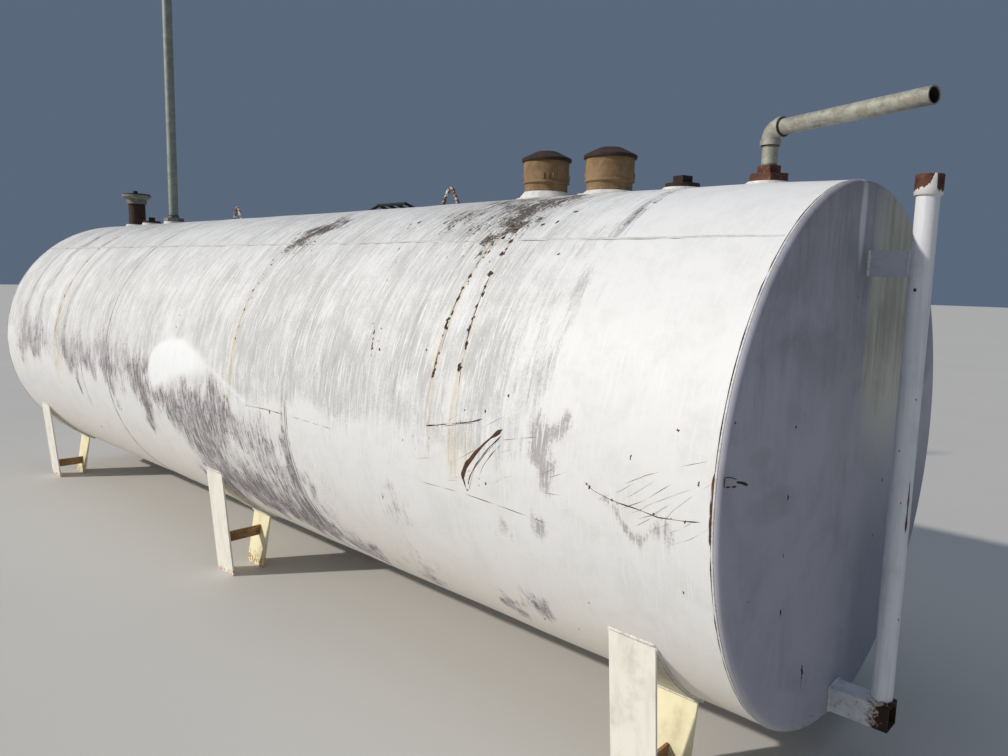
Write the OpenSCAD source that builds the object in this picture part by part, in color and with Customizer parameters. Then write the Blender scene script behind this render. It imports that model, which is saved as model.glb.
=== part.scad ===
// Horizontal above-ground storage tank on three pairs of welded legs.
// The tank's own frame has its origin at the near rim, on the tank's axis, with the tank towards -X.
// Every piece is built in that frame and then set over the ground by in_place().

/* [Tank] */
// Outside diameter of the tank
tank_od = 1626; // [1400:2:1900]
// Length of the tank over its two flat ends
tank_len = 5486; // [5100:1:6600]
// Thickness of the shell and end plates
shell_t = 6; // [4:0.5:9]
// Outer radius of the rounded edge of each end
knuckle_r = 16; // [12:1:30]
// Height of the tank's underside over the ground
ground_gap = 150; // [120:1:260]

/* [Girth seams] */
// Length of the near course, from the near rim to its seam
near_course = 1829; // [1700:1:2000]
// Length of the far course, from the far rim to its seam
far_course = 1829; // [1700:1:2000]

/* [Legs] */
// Width of a leg plate, along the tank
leg_w = 152; // [100:1:220]
// Thickness of the leg plates
leg_t = 8; // [6:0.5:14]
// Angle below the horizontal at which the outer leg meets the shell
outer_leg_angle = 33; // [30:1:38]
// Angle below the horizontal at which the inner leg meets the shell
inner_leg_angle = 58; // [54:1:62]
// Distance from the tank's middle plane to the foot of the outer leg
outer_foot_y = 634; // [600:1:680]
// Distance from the tank's middle plane to the foot of the inner leg
inner_foot_y = 476; // [440:1:520]
// Thickness of the curved pad that the legs carry
pad_t = 10; // [6:0.5:16]
// Distance of the end legs' centres from the rims
leg_inset = 305; // [200:1:420]
// Distance of the middle legs from mid-length, towards the near end
mid_leg_shift = 45; // [0:1:150]
// Angle that the pad runs on past the inner leg
pad_past = 3; // [1.5:0.5:6]
// Height of the end legs' cross braces over the ground
end_brace_z = 60; // [30:1:200]
// Height of the middle legs' cross braces over the ground
mid_brace_z = 150; // [100:1:220]
// Depth of the cross brace
brace_h = 50; // [30:1:70]
// Thickness of the cross brace
brace_t = 10; // [6:0.5:16]

/* [Crown openings] */
// Bore of the threaded openings along the crown
opening_d = 104; // [90:1:108]
// Outside diameter of the welded collar round each opening
collar_od = 128; // [122:1:150]
// Height of a collar over the crown
collar_h = 14; // [8:1:24]
// Distance of the first opening from the near rim
first_opening_x = 323; // [260:1:400]
// Spacing of the four near openings
opening_pitch = 305; // [290:1:340]
// Distance of the fill riser from the far rim
riser_inset = 290; // [220:1:330]
// Distance of the low plug from the far rim
far_plug_inset = 545; // [500:1:600]
// Distance of the vent stack from the far rim
stack_inset = 904; // [820:1:1000]
// Length of thread that enters an opening
thread_len = 26; // [16:1:40]

/* [Vent arm] */
// Outside diameter of the vent arm's pipe
arm_od = 48.3; // [38:0.1:50]
// Wall of the vent arm's pipe
arm_wall = 3.7; // [2.5:0.1:5]
// Horizontal length of the arm from the riser's centre to its open end
arm_len = 549; // [400:1:700]
// Turn of the arm from the tank's length, towards the front
arm_turn = 21; // [0:1:40]
// Height over the crown of the arm's centre line
arm_rise = 176; // [160:1:240]
// Width across the flats of the lower bushing
big_hex = 112; // [110:1:122]
// Height of the lower bushing's hexagon
big_hex_h = 24; // [16:1:32]
// Width across the flats of the upper bushing
small_hex = 68; // [64:1:80]
// Height of the upper bushing's hexagon
small_hex_h = 25; // [16:1:30]
// Diameter of the upper bushing's thread
upper_thread_d = 60; // [56:0.5:62]
// Length of the upper bushing's thread
upper_thread_l = 18; // [12:1:22]
// Outside diameter of the elbow's two sockets
elbow_socket_od = 63; // [58:0.5:70]
// Depth of the elbow's sockets
elbow_socket_l = 16; // [12:0.5:18]
// Outside diameter of the elbow between its sockets
elbow_body_od = 56; // [52:0.5:60]
// Distance from the elbow's centre to the face of a socket
elbow_reach = 50; // [48:0.5:60]

/* [Plugs] */
// Diameter of the rim of a plug
plug_rim_d = 116; // [112:1:122]
// Height of the rim of a plug
plug_rim_h = 14; // [8:1:20]
// Side of the square head of the near plug
near_plug_side = 46; // [36:1:60]
// Side of the square head of the far plug
far_plug_side = 41; // [32:1:56]
// Height of a plug's square head
plug_head_h = 26; // [16:1:36]
// Turn of the near plug's square head
near_plug_turn = -14; // [-45:1:45]
// Turn of the far plug's square head
far_plug_turn = -22; // [-45:1:45]

/* [Emergency vents] */
// Diameter of the barrel of an emergency vent
vent_barrel_d = 178; // [168:1:190]
// Wall of the barrel
vent_wall = 8; // [5:0.5:12]
// Height of the barrel over its ridge
vent_barrel_h = 82; // [70:1:120]
// Diameter of the narrower neck under the ridge
vent_neck_d = 170; // [162:1:176]
// Height of the neck
vent_neck_h = 31; // [20:1:45]
// Diameter of the ridge round the barrel
vent_ridge_d = 184; // [179:1:196]
// Height of the ridge
vent_ridge_h = 8; // [5:1:14]
// Diameter of the rim of the vent's cover
vent_cover_d = 195; // [192:1:215]
// Height of the rim of the vent's cover
vent_cover_rim = 14; // [10:1:24]
// Clearance between the barrel and the rim that hangs over it
vent_slack = 2; // [1:0.5:4]
// Depth that the rim hangs over the barrel
vent_skirt = 6; // [3:0.5:9]
// Rise of the cover's dome over its rim
vent_dome_h = 28; // [18:1:44]
// Diameter of the flat top of the dome
vent_top_d = 78; // [30:1:100]
// Bore of the welded cone under an emergency vent
vent_bore = 150; // [140:1:152]
// Diameter of the welded cone where it meets the crown
vent_cone_d = 222; // [206:1:240]
// Height over the crown of the cone under the first vent
vent_1_cone_h = 31; // [16:1:48]
// Height over the crown of the cone under the second vent
vent_2_cone_h = 19; // [14:1:48]

/* [Vent stack] */
// Outside diameter of the stack's pipe
stack_od = 60.3; // [48:0.1:62]
// Wall of the stack's pipe
stack_wall = 3.9; // [2.5:0.1:6]
// Height of the stack's top over the ground
stack_top = 3600; // [2800:10:4200]
// Diameter of the stack's rain cap
stack_cap_d = 112; // [90:1:140]
// Height of the neck over the stack's bushing
stack_neck_h = 14; // [8:1:24]
// Outside diameter of that neck
stack_neck_d = 70; // [68:1:84]
// Wall of the rain cap's socket round the pipe
stack_cap_wall = 4; // [3:0.5:6]
// Depth of the rain cap's socket over the pipe
stack_cap_l = 40; // [24:1:60]
// Gap between the pipe's end and the rain cap's plate
stack_cap_gap = 24; // [12:1:40]
// Thickness of the rain cap's plate
stack_cap_t = 5; // [3:0.5:8]

/* [Fill riser] */
// Outside diameter of the fill riser
riser_od = 114.3; // [100:0.1:118]
// Wall of the fill riser
riser_wall = 6; // [4:0.1:9]
// Height of the riser's top over the crown
riser_h = 189; // [150:1:260]
// Outside diameter of the collar round the riser
riser_collar_od = 150; // [136:1:170]
// Height of that collar over the crown
riser_collar_h = 10; // [6:1:20]
// Outside diameter of the fill adapter's hub
fill_hub_d = 136; // [128:1:150]
// Height of the hub, which takes the riser's end
fill_hub_h = 30; // [20:1:40]
// Outside diameter of the adapter's flared rim
fill_rim_d = 198; // [190:1:210]
// Height of the flare between hub and rim
fill_flare_h = 20; // [10:1:30]
// Height of the rim
fill_rim_h = 14; // [8:1:20]
// Bore of the adapter over the riser's end
fill_bore = 100; // [80:1:112]
// Diameter of the fill lid
fill_lid_d = 184; // [150:1:188]
// Thickness of the fill lid
fill_lid_t = 8; // [5:0.5:12]
// Diameter of the knob on the fill lid
fill_knob_d = 34; // [24:1:44]
// Height of the knob
fill_knob_h = 24; // [14:1:34]
// Distance of the knob from the lid's centre
fill_knob_off = 22; // [0:1:40]

/* [Lifting lugs] */
// Diameter of the bar of a lifting lug
lug_bar = 16; // [12:1:20]
// Radius of the lug's top bend, at the bar's centre
lug_bend = 20; // [14:0.5:26]
// Height of the near lug's bend over the crown
near_lug_rise = 57; // [34:1:66]
// Height of the far lug's bend over the crown
far_lug_rise = 52; // [34:1:66]
// Lean of the near lug's legs from the vertical
near_lug_lean = 29; // [6:1:36]
// Lean of the far lug's legs from the vertical
far_lug_lean = 23; // [6:1:36]
// Distance of the lugs from mid-length
lug_x = 953; // [900:1:1000]

/* [Bar frame] */
// Diameter of the bars of the frame on the crown
frame_bar = 14; // [10:1:18]
// Distance of the frame's left end from the near rim
frame_x = 2392; // [2340:1:2440]
// Length of the frame's top bar
frame_len = 220; // [180:5:260]
// Height of the top bar's centre over the crown
frame_rise = 36; // [28:1:60]
// Distance of the top bar behind the tank's middle plane
frame_y = 60; // [30:1:100]
// Distance that each rib runs down the back of the crown
rib_run = 130; // [100:1:160]
// Distance that each rib leans towards the near end
rib_lean = 40; // [0:1:60]
// Number of ribs
rib_count = 4; // [2:1:6]

/* [Standpipe] */
// Outside diameter of the standpipe
standpipe_od = 60.3; // [48:0.1:66]
// Wall of the standpipe
standpipe_wall = 3.9; // [2.5:0.1:6]
// Distance of the standpipe's centre from the near end plate
standpipe_x = 142; // [110:1:180]
// Distance of the standpipe's top under the crown
standpipe_drop = 23; // [-40:1:170]
// Outside diameter of the coupling on the standpipe
coupling_od = 73; // [71:0.5:86]
// Length of the coupling
coupling_l = 57; // [50:1:90]
// Bore of the coupling over the standpipe's end
coupling_bore = 57; // [44:0.5:58]
// Depth that the standpipe enters its coupling
coupling_grip = 27; // [20:1:40]
// Height of the flat bar that stays the standpipe
stay_h = 76; // [40:1:100]
// Thickness of that bar
stay_t = 10; // [6:0.5:14]
// Distance of that bar's centre under the crown
stay_drop = 235; // [173:1:393]
// Side of the square foot box under the standpipe
foot_box_side = 76; // [70:1:90]
// Wall of the foot box
foot_box_wall = 6; // [4:0.5:8]
// Height of the foot box's top over the tank's underside
foot_box_in = 95; // [91:1:173]
// Length that the foot box reaches past the standpipe's centre
foot_box_past = 33; // [32:1:60]

/* [Hidden] */
// Curved pieces seated on the shell, and pipes in their bores, clear them by this much
seat = 0.3;
// Cuts run past the faces that they open by this much
over = 1;
$fn = 96;

tank_r = tank_od / 2;
inner_r = tank_r - shell_t;
axis_z = ground_gap + tank_r;
far_seam = tank_len - far_course;

near_plug_x = first_opening_x + opening_pitch;
vent_2_x = first_opening_x + 2 * opening_pitch;
vent_1_x = first_opening_x + 3 * opening_pitch;
riser_x = tank_len - riser_inset;
far_plug_x = tank_len - far_plug_inset;
stack_x = tank_len - stack_inset;
collar_top = tank_r + collar_h;
thread_d = opening_d - 2 * seat;
big_hex_top = collar_top + big_hex_h;
small_hex_top = big_hex_top + small_hex_h;
stack_end = stack_top - axis_z;
riser_top = tank_r + riser_h;
fill_rim_z = riser_top + fill_flare_h;
fill_lid_z = fill_rim_z + fill_rim_h;

arm_z = tank_r + arm_rise;
arm_id = arm_od - 2 * arm_wall;
elbow_bend = elbow_reach - elbow_socket_l;
arm_tip_x = arm_len * cos(arm_turn) + arm_od / 2 * sin(arm_turn) - first_opening_x;
standpipe_top = tank_r - standpipe_drop;
stay_z = tank_r - stay_drop;
foot_box_z = tank_r - foot_box_in;
foot_box_l = standpipe_x + foot_box_past;
near_reach = max(arm_tip_x, foot_box_l);
middle_x = (near_reach - tank_len) / 2;

middle_legs_x = tank_len / 2 - mid_leg_shift;
pad_r = tank_r + seat + pad_t;

paint = "#d9d9d2";
rust = "#6b3f28";
zinc = "#8f8f87";
tan_iron = "#a58a64";
dark_rust = "#3e2722";

// Sets a piece from the tank's frame over the ground, midway along the whole object
module in_place() translate([-middle_x, 0, axis_z]) children();

// Cylinder along X between two places, with more facets on the tank's own rounds
module along_x(d, x0, x1) translate([x0, 0, 0]) rotate([0, 90, 0])
    cylinder(d = d, h = x1 - x0, $fn = d > tank_r ? 4 * $fn : $fn);

// Upright cylinder between two heights
module upright(d, z0, z1) translate([0, 0, z0]) cylinder(d = d, h = z1 - z0);

// Upright tube between two heights
module upright_tube(od, id, z0, z1) difference() {
    upright(od, z0, z1);
    upright(id, z0 - over, z1 + over);
}

// Upright hexagonal prism, measured across its flats
module upright_hex(flats, z0, z1) translate([0, 0, z0])
    cylinder(d = flats / cos(30), h = z1 - z0, $fn = 6);

// Sets a fitting on the crown, at a distance back from the near rim
module on_crown(x) translate([-x, 0, 0]) children();

// Room that the tank takes, with the seat's clearance
module tank_room() along_x(tank_od + 2 * seat, -tank_len - over, over);

// Holes through the crown under every fitting
module crown_holes() {
    for (x = [first_opening_x, near_plug_x, far_plug_x, stack_x])
        on_crown(x) upright(opening_d, 0, tank_r + over);
    for (x = [vent_1_x, vent_2_x]) on_crown(x) upright(vent_bore, 0, tank_r + over);
    on_crown(riser_x) upright(riser_od + 2 * seat, 0, tank_r + over);
}

// One rolled course of the shell, between two distances from the near rim
module shell_course(from, to) in_place() color(paint) difference() {
    along_x(tank_od, -to, -from);
    along_x(2 * inner_r, -to - over, -from + over);
    crown_holes();
}
module near_shell_course() shell_course(knuckle_r, near_course);
module middle_shell_course() shell_course(near_course, far_seam);
module far_shell_course() shell_course(far_seam, tank_len - knuckle_r);

// Ring with a round section, for the rounded edge of an end
module edge_ring(r) translate([-knuckle_r, 0, 0]) rotate([0, 90, 0])
    rotate_extrude($fn = 4 * $fn) translate([tank_r - knuckle_r, 0]) circle(r = r);

// Flat end plate with a rounded edge and its face towards +X at X = 0
module end_plate() difference() {
    union() {
        along_x(tank_od - 2 * knuckle_r, -knuckle_r, 0);
        edge_ring(knuckle_r);
    }
    along_x(tank_od - 2 * knuckle_r, -knuckle_r - over, -shell_t);
    edge_ring(knuckle_r - shell_t);
    along_x(tank_od + 2 * over, -2 * knuckle_r - over, -knuckle_r);
}
module near_end() in_place() color("#8d929e") end_plate();
module far_end() in_place() color(paint) translate([-tank_len, 0, 0]) mirror([1, 0, 0]) end_plate();

// Both sides of what stands under the tank, at one distance from the near rim
module both_sides(x) in_place() color(paint)
    for (side = [0, 1]) mirror([0, side, 0]) translate([-x, 0, 0]) children();

// Outline in the Y-Z plane, extruded along X about its middle
module slab(outline, w) translate([-w / 2, 0, 0]) rotate([90, 0, 90]) linear_extrude(w) polygon(outline);

// Y of a leg's front face at height z, between its foot and its seat on the shell
function face_y(angle, foot_y, z) =
    -foot_y + (foot_y - tank_r * cos(angle)) * (z + axis_z) / (axis_z - tank_r * sin(angle));

// Outline of a leg plate from the ground to a little way inside its seat
function leg_outline(angle, foot_y) = let (
        top_z = -tank_r * sin(angle) + 3 * leg_t,
        top_y = face_y(angle, foot_y, top_z)
    ) [[top_y, top_z], [-foot_y, -axis_z], [-foot_y + leg_t, -axis_z], [top_y + leg_t, top_z]];

// Leg plate whose top is cut to a round of the given radius
module leg(angle, foot_y, seat_r) difference() {
    slab(leg_outline(angle, foot_y), leg_w);
    along_x(2 * seat_r, -leg_w, leg_w);
}

// Curved pad from the outer leg's inner face to just past the inner leg
module leg_pad() intersection() {
    difference() {
        along_x(2 * pad_r, -leg_w / 2, leg_w / 2);
        along_x(tank_od + 2 * seat, -leg_w, leg_w);
    }
    let (
        leg = leg_outline(outer_leg_angle, outer_foot_y),
        end = inner_leg_angle + pad_past,
        out = 2 * tank_r
    ) slab([[0, 0], leg[3], leg[2], [-out * cos(end), -out * sin(end)]], 2 * leg_w);
}

// Level flat bar between the two leg plates of a side
module brace(rise) let (z0 = rise - axis_z, z1 = z0 + brace_h) slab([
    for (z = [z0, z1]) [face_y(outer_leg_angle, outer_foot_y, z) + leg_t, z],
    for (z = [z1, z0]) [face_y(inner_leg_angle, inner_foot_y, z), z],
], brace_t);

module outer_legs(x) both_sides(x) leg(outer_leg_angle, outer_foot_y, tank_r + seat);
module inner_legs(x) both_sides(x) leg(inner_leg_angle, inner_foot_y, pad_r + seat);
module leg_pads(x) both_sides(x) leg_pad();
module braces(x, rise) both_sides(x) brace(rise);

module near_outer_legs() outer_legs(leg_inset);
module near_inner_legs() inner_legs(leg_inset);
module near_leg_pads() leg_pads(leg_inset);
module near_braces() braces(leg_inset, end_brace_z);
module middle_outer_legs() outer_legs(middle_legs_x);
module middle_inner_legs() inner_legs(middle_legs_x);
module middle_leg_pads() leg_pads(middle_legs_x);
module middle_braces() braces(middle_legs_x, mid_brace_z);
module far_outer_legs() outer_legs(tank_len - leg_inset);
module far_inner_legs() inner_legs(tank_len - leg_inset);
module far_leg_pads() leg_pads(tank_len - leg_inset);
module far_braces() braces(tank_len - leg_inset, end_brace_z);

// Welded collar round an opening, its underside cut to the shell
module collar(x, od, id, h) difference() {
    on_crown(x) upright_tube(od, id, 0, tank_r + h);
    tank_room();
}
module near_collars() in_place() color(paint)
    for (x = [first_opening_x, near_plug_x]) collar(x, collar_od, opening_d, collar_h);
module far_collars() in_place() color(paint) {
    for (x = [far_plug_x, stack_x]) collar(x, collar_od, opening_d, collar_h);
    collar(riser_x, riser_collar_od, riser_od + 2 * seat, riser_collar_h);
}

// Welded cone under an emergency vent, as wide at its top as the vent's ridge needs
module vent_cone(x, h) let (
        top_d = vent_neck_d + 2 * seat,
        spread = (vent_cone_d - top_d) / h,
        drop = tank_r - sqrt(pow(tank_r, 2) - pow(vent_cone_d / 2 + h, 2)) + over
    ) difference() {
    on_crown(x) translate([0, 0, tank_r - drop])
        cylinder(d1 = vent_cone_d + spread * drop, d2 = top_d, h = h + drop);
    on_crown(x) upright(vent_bore, 0, tank_r + h + over);
    tank_room();
}
module vent_cones() in_place() color(paint) {
    vent_cone(vent_1_x, vent_1_cone_h);
    vent_cone(vent_2_x, vent_2_cone_h);
}

// Hexagonal bushing over a collar, with its thread in the opening and a bore for what it carries
module lower_bushing() in_place() color(rust) on_crown(first_opening_x) difference() {
    union() {
        upright_hex(big_hex, collar_top, collar_top + big_hex_h);
        upright(thread_d, collar_top - thread_len, collar_top);
    }
    upright(upper_thread_d + 2 * seat, big_hex_top - upper_thread_l, big_hex_top + over);
    upright(arm_id, collar_top - thread_len - over, big_hex_top);
}

module upper_bushing() in_place() color(rust) on_crown(first_opening_x) difference() {
    union() {
        upright_hex(small_hex, big_hex_top, small_hex_top);
        upright(upper_thread_d, big_hex_top - upper_thread_l, big_hex_top);
    }
    upright(arm_od + 2 * seat, small_hex_top - elbow_socket_l, small_hex_top + over);
    upright(arm_id, big_hex_top - upper_thread_l - over, small_hex_top);
}

module nipple() in_place() color(zinc) on_crown(first_opening_x)
    upright_tube(arm_od, arm_id, small_hex_top - elbow_socket_l, arm_z - elbow_bend);

// Quarter bend of round section from the upright run into the level run
module quarter_bend(d) translate([elbow_bend, 0, arm_z - elbow_bend])
    rotate([90, 0, 0]) rotate([0, 0, 90]) rotate_extrude(angle = 90)
        translate([elbow_bend, 0]) circle(d = d);

// Sets what follows the arm over the first opening, turned to the arm's run
module on_arm() in_place() on_crown(first_opening_x) rotate([0, 0, -arm_turn]) children();

// Cylinder along the arm's run
module arm_run(d, x0, x1) translate([0, 0, arm_z]) along_x(d, x0, x1);

module elbow() on_arm() color(zinc) difference() {
    union() {
        quarter_bend(elbow_body_od);
        upright(elbow_socket_od, arm_z - elbow_reach, arm_z - elbow_bend);
        arm_run(elbow_socket_od, elbow_bend, elbow_reach);
    }
    quarter_bend(arm_id);
    upright(arm_od + 2 * seat, arm_z - elbow_reach - over, arm_z - elbow_bend);
    arm_run(arm_od + 2 * seat, elbow_bend, elbow_reach + over);
}

module vent_arm() on_arm() color(zinc) difference() {
    arm_run(arm_od, elbow_bend, arm_len);
    arm_run(arm_id, elbow_bend - over, arm_len + over);
}

// Plug with a round rim on its collar and a square head
module plug(x, side, turn) in_place() color(rust) on_crown(x) {
    upright(plug_rim_d, collar_top, collar_top + plug_rim_h);
    upright(thread_d, collar_top - thread_len, collar_top);
    rotate([0, 0, turn]) translate([-side / 2, -side / 2, collar_top])
        cube([side, side, plug_rim_h + plug_head_h]);
}
module near_plug() plug(near_plug_x, near_plug_side, near_plug_turn);
module far_plug() plug(far_plug_x, far_plug_side, far_plug_turn);

// Barrel of an emergency vent, standing on its welded cone
module vent_barrel(x, cone_h) let (
        base = tank_r + cone_h,
        ridge = base + vent_neck_h,
        top = ridge + vent_ridge_h + vent_barrel_h,
        spigot_d = vent_bore - 2 * seat
    ) in_place() color(tan_iron) on_crown(x) difference() {
    union() {
        upright(spigot_d, base - thread_len, base);
        upright(vent_neck_d, base, ridge);
        upright(vent_ridge_d, ridge, ridge + vent_ridge_h);
        upright(vent_barrel_d, ridge + vent_ridge_h, top);
    }
    upright(spigot_d - 2 * vent_wall, base - thread_len - over, top);
    upright(vent_barrel_d - 2 * vent_wall, ridge, top + over);
}

// Cover that lies on the barrel, with a rim that hangs over it and a low dome
module vent_cover(x, cone_h) let (
        seat_z = tank_r + cone_h + vent_neck_h + vent_ridge_h + vent_barrel_h,
        rim_top = seat_z + vent_cover_rim - vent_skirt
    ) in_place() color(dark_rust) on_crown(x) difference() {
    union() {
        upright(vent_cover_d, seat_z - vent_skirt, rim_top);
        translate([0, 0, rim_top]) cylinder(d1 = vent_cover_d - vent_skirt, d2 = vent_top_d, h = vent_dome_h);
    }
    upright(vent_barrel_d + 2 * vent_slack, seat_z - vent_skirt - over, seat_z);
}
module vent_1_barrel() vent_barrel(vent_1_x, vent_1_cone_h);
module vent_1_cover() vent_cover(vent_1_x, vent_1_cone_h);
module vent_2_barrel() vent_barrel(vent_2_x, vent_2_cone_h);
module vent_2_cover() vent_cover(vent_2_x, vent_2_cone_h);

module stack_bushing() in_place() color(rust) on_crown(stack_x) difference() {
    union() {
        upright_hex(big_hex, collar_top, big_hex_top);
        upright(stack_neck_d, big_hex_top, big_hex_top + stack_neck_h);
        upright(thread_d, collar_top - thread_len, collar_top);
    }
    upright(stack_od + 2 * seat, collar_top, big_hex_top + stack_neck_h + over);
    upright(stack_od - 2 * stack_wall, collar_top - thread_len - over, big_hex_top);
}

module stack_pipe() in_place() color(zinc) on_crown(stack_x)
    upright_tube(stack_od, stack_od - 2 * stack_wall, collar_top, stack_end);

// Rain cap: a socket round the pipe's end, a plate over it and the ribs between them
module stack_cap() in_place() color(dark_rust) on_crown(stack_x) {
    socket_od = stack_od + 2 * (seat + stack_cap_wall);
    upright_tube(socket_od, stack_od + 2 * seat, stack_end - stack_cap_l, stack_end);
    upright(stack_cap_d, stack_end + stack_cap_gap, stack_end + stack_cap_gap + stack_cap_t);
    for (turn = [0:120:240]) rotate([0, 0, turn])
        translate([stack_od / 2 + seat, -stack_cap_wall / 2, stack_end - over])
            cube([stack_cap_wall, stack_cap_wall, stack_cap_gap + 2 * over]);
}

module fill_riser() in_place() color(rust) on_crown(riser_x)
    upright_tube(riser_od, riser_od - 2 * riser_wall, tank_r - thread_len, riser_top);

module fill_adapter() in_place() color(zinc) on_crown(riser_x) difference() {
    union() {
        upright(fill_hub_d, riser_top - fill_hub_h, riser_top);
        translate([0, 0, riser_top]) cylinder(d1 = fill_hub_d, d2 = fill_rim_d, h = fill_flare_h);
        upright(fill_rim_d, fill_rim_z, fill_lid_z);
    }
    upright(riser_od + 2 * seat, riser_top - fill_hub_h - over, riser_top);
    upright(fill_bore, riser_top - over, fill_lid_z + over);
}

module fill_lid() in_place() color("#23262e") on_crown(riser_x) {
    upright(fill_lid_d, fill_lid_z, fill_lid_z + fill_lid_t);
    translate([-fill_knob_off, 0, 0]) upright(fill_knob_d, fill_lid_z + fill_lid_t, fill_lid_z + fill_lid_t + fill_knob_h);
}

// Bar bent to a loop that stands on the crown, its legs leaning apart towards the shell.
// The bend is a little fuller than the bar, as a hot bend is, and takes in the ends of the legs.
module lug(x, rise, lean) in_place() color(rust) {
    on_crown(x) translate([0, 0, tank_r + rise]) rotate([90, 0, 0]) rotate([0, 0, lean])
        rotate_extrude(angle = 180 - 2 * lean) translate([lug_bend, 0]) circle(d = lug_bar + 2 * seat);
    for (side = [0, 1]) difference() {
        on_crown(x) mirror([side, 0, 0])
            translate([lug_bend * cos(lean), 0, tank_r + rise + lug_bend * sin(lean)])
                rotate([0, 180 - lean, 0]) translate([0, 0, -over])
                    cylinder(d = lug_bar, h = (rise + lug_bar + lug_bend * sin(lean)) / cos(lean) + over);
        tank_room();
    }
}
module near_lug() lug(tank_len / 2 - lug_x, near_lug_rise, near_lug_lean);
module far_lug() lug(tank_len / 2 + lug_x, far_lug_rise, far_lug_lean);

// Round bar between two points
module bar(a, b) {
    run = b - a;
    long = norm(run);
    translate(a) rotate([0, acos(run[2] / long), atan2(run[1], run[0])])
        cylinder(d = frame_bar, h = long);
}

// Low frame of bars: a top bar with its left foot, and ribs down the back of the crown to a second bar
module bar_frame() in_place() color(dark_rust) {
    top = [-frame_x, frame_y, tank_r + frame_rise];
    back_angle = asin((frame_y + rib_run) / tank_r);
    back_r = tank_r + seat + frame_bar / 2;
    back = [rib_lean - frame_x, back_r * sin(back_angle), back_r * cos(back_angle)];
    step = (frame_len - frame_bar) / (rib_count - 1);
    bar(top, top + [frame_len, 0, 0]);
    bar(back, back + [frame_len, 0, 0]);
    for (i = [0:rib_count - 1]) let (along = [frame_bar / 2 + i * step, 0, 0])
        bar(top + along, back + along);
    difference() {
        bar(top + [frame_bar, 0, 0], [-frame_x - rib_lean, 0, tank_r - frame_bar]);
        tank_room();
    }
}

module standpipe() in_place() color(paint) translate([standpipe_x, 0, 0])
    upright_tube(standpipe_od, standpipe_od - 2 * standpipe_wall, -foot_box_z, standpipe_top);

module standpipe_coupling() in_place() color(rust) translate([standpipe_x, 0, 0]) difference() {
    upright(coupling_od, standpipe_top - coupling_grip, standpipe_top - coupling_grip + coupling_l);
    upright(standpipe_od + 2 * seat, standpipe_top - coupling_grip - over, standpipe_top);
    upright(coupling_bore, standpipe_top - over, standpipe_top + coupling_l);
}

// Flat bar on edge from the near end plate to the standpipe
module standpipe_stay() in_place() color(paint) difference() {
    translate([0, -stay_t / 2, stay_z - stay_h / 2]) cube([standpipe_x, stay_t, stay_h]);
    translate([standpipe_x, 0, 0]) upright(standpipe_od + 2 * seat, 0, tank_r);
}

// Square tube from the near end plate to past the standpipe, open at its outer end
module foot_box() in_place() color(paint) translate([0, -foot_box_side / 2, -foot_box_z - foot_box_side])
    difference() {
        cube([foot_box_l, foot_box_side, foot_box_side]);
        translate([-over, foot_box_wall, foot_box_wall]) cube([
            foot_box_l + 2 * over,
            foot_box_side - 2 * foot_box_wall,
            foot_box_side - 2 * foot_box_wall,
        ]);
    }

near_shell_course();
middle_shell_course();
far_shell_course();
near_end();
far_end();
near_outer_legs();
near_inner_legs();
near_leg_pads();
near_braces();
middle_outer_legs();
middle_inner_legs();
middle_leg_pads();
middle_braces();
far_outer_legs();
far_inner_legs();
far_leg_pads();
far_braces();
near_collars();
far_collars();
vent_cones();
lower_bushing();
upper_bushing();
nipple();
elbow();
vent_arm();
near_plug();
far_plug();
vent_1_barrel();
vent_1_cover();
vent_2_barrel();
vent_2_cover();
stack_bushing();
stack_pipe();
stack_cap();
fill_riser();
fill_adapter();
fill_lid();
near_lug();
far_lug();
bar_frame();
standpipe();
standpipe_coupling();
standpipe_stay();
foot_box();
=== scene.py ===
# %% [markdown]
# # A horizontal storage tank, weathered outdoors
# The object is a steel tank for liquids: three rolled courses, two flat ends with a rounded edge,
# six welded legs, and a row of pipe fittings along its crown. The CAD model gives every size.
# This file dresses it: it shows how worn paint, rust, zinc and weld beads are made in Blender.
# Each step says what the real thing is, how it could be made, and why this way was chosen.

# %% Load the CAD frame
import functools
import math

import bmesh
import bpy
import numpy as np
from mathutils import Matrix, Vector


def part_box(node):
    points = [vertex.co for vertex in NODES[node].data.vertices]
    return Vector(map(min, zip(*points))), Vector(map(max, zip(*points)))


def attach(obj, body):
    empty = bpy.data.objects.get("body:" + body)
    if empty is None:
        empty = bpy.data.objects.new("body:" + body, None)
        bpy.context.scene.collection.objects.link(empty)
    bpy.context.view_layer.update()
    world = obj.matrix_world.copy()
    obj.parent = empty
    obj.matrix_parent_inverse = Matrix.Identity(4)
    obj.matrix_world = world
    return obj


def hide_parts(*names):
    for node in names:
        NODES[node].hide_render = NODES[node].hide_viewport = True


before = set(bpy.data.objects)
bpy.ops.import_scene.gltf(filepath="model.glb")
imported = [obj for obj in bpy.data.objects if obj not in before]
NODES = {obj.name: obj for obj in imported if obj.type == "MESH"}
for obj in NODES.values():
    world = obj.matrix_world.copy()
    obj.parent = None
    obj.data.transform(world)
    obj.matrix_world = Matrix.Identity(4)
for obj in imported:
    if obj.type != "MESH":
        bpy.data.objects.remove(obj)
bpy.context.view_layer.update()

# %% [markdown]
# ## Measures that every step shares
# Marks on the tank were measured from its near rim and as an angle round it, so it helps to keep
# those two coordinates: `x` in millimetres back from the near rim, which is negative, and `angle`
# in degrees above the level of the axis on the front side. One function turns them into a point.
# A real rolled shell isn't a perfect cylinder either: it is pulled in at its girth welds, peaks a
# little at its long seam, waves by about a millimetre and bulges at its crown. The same function
# knows that, so that every mark and weld lies on the skin.

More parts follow.
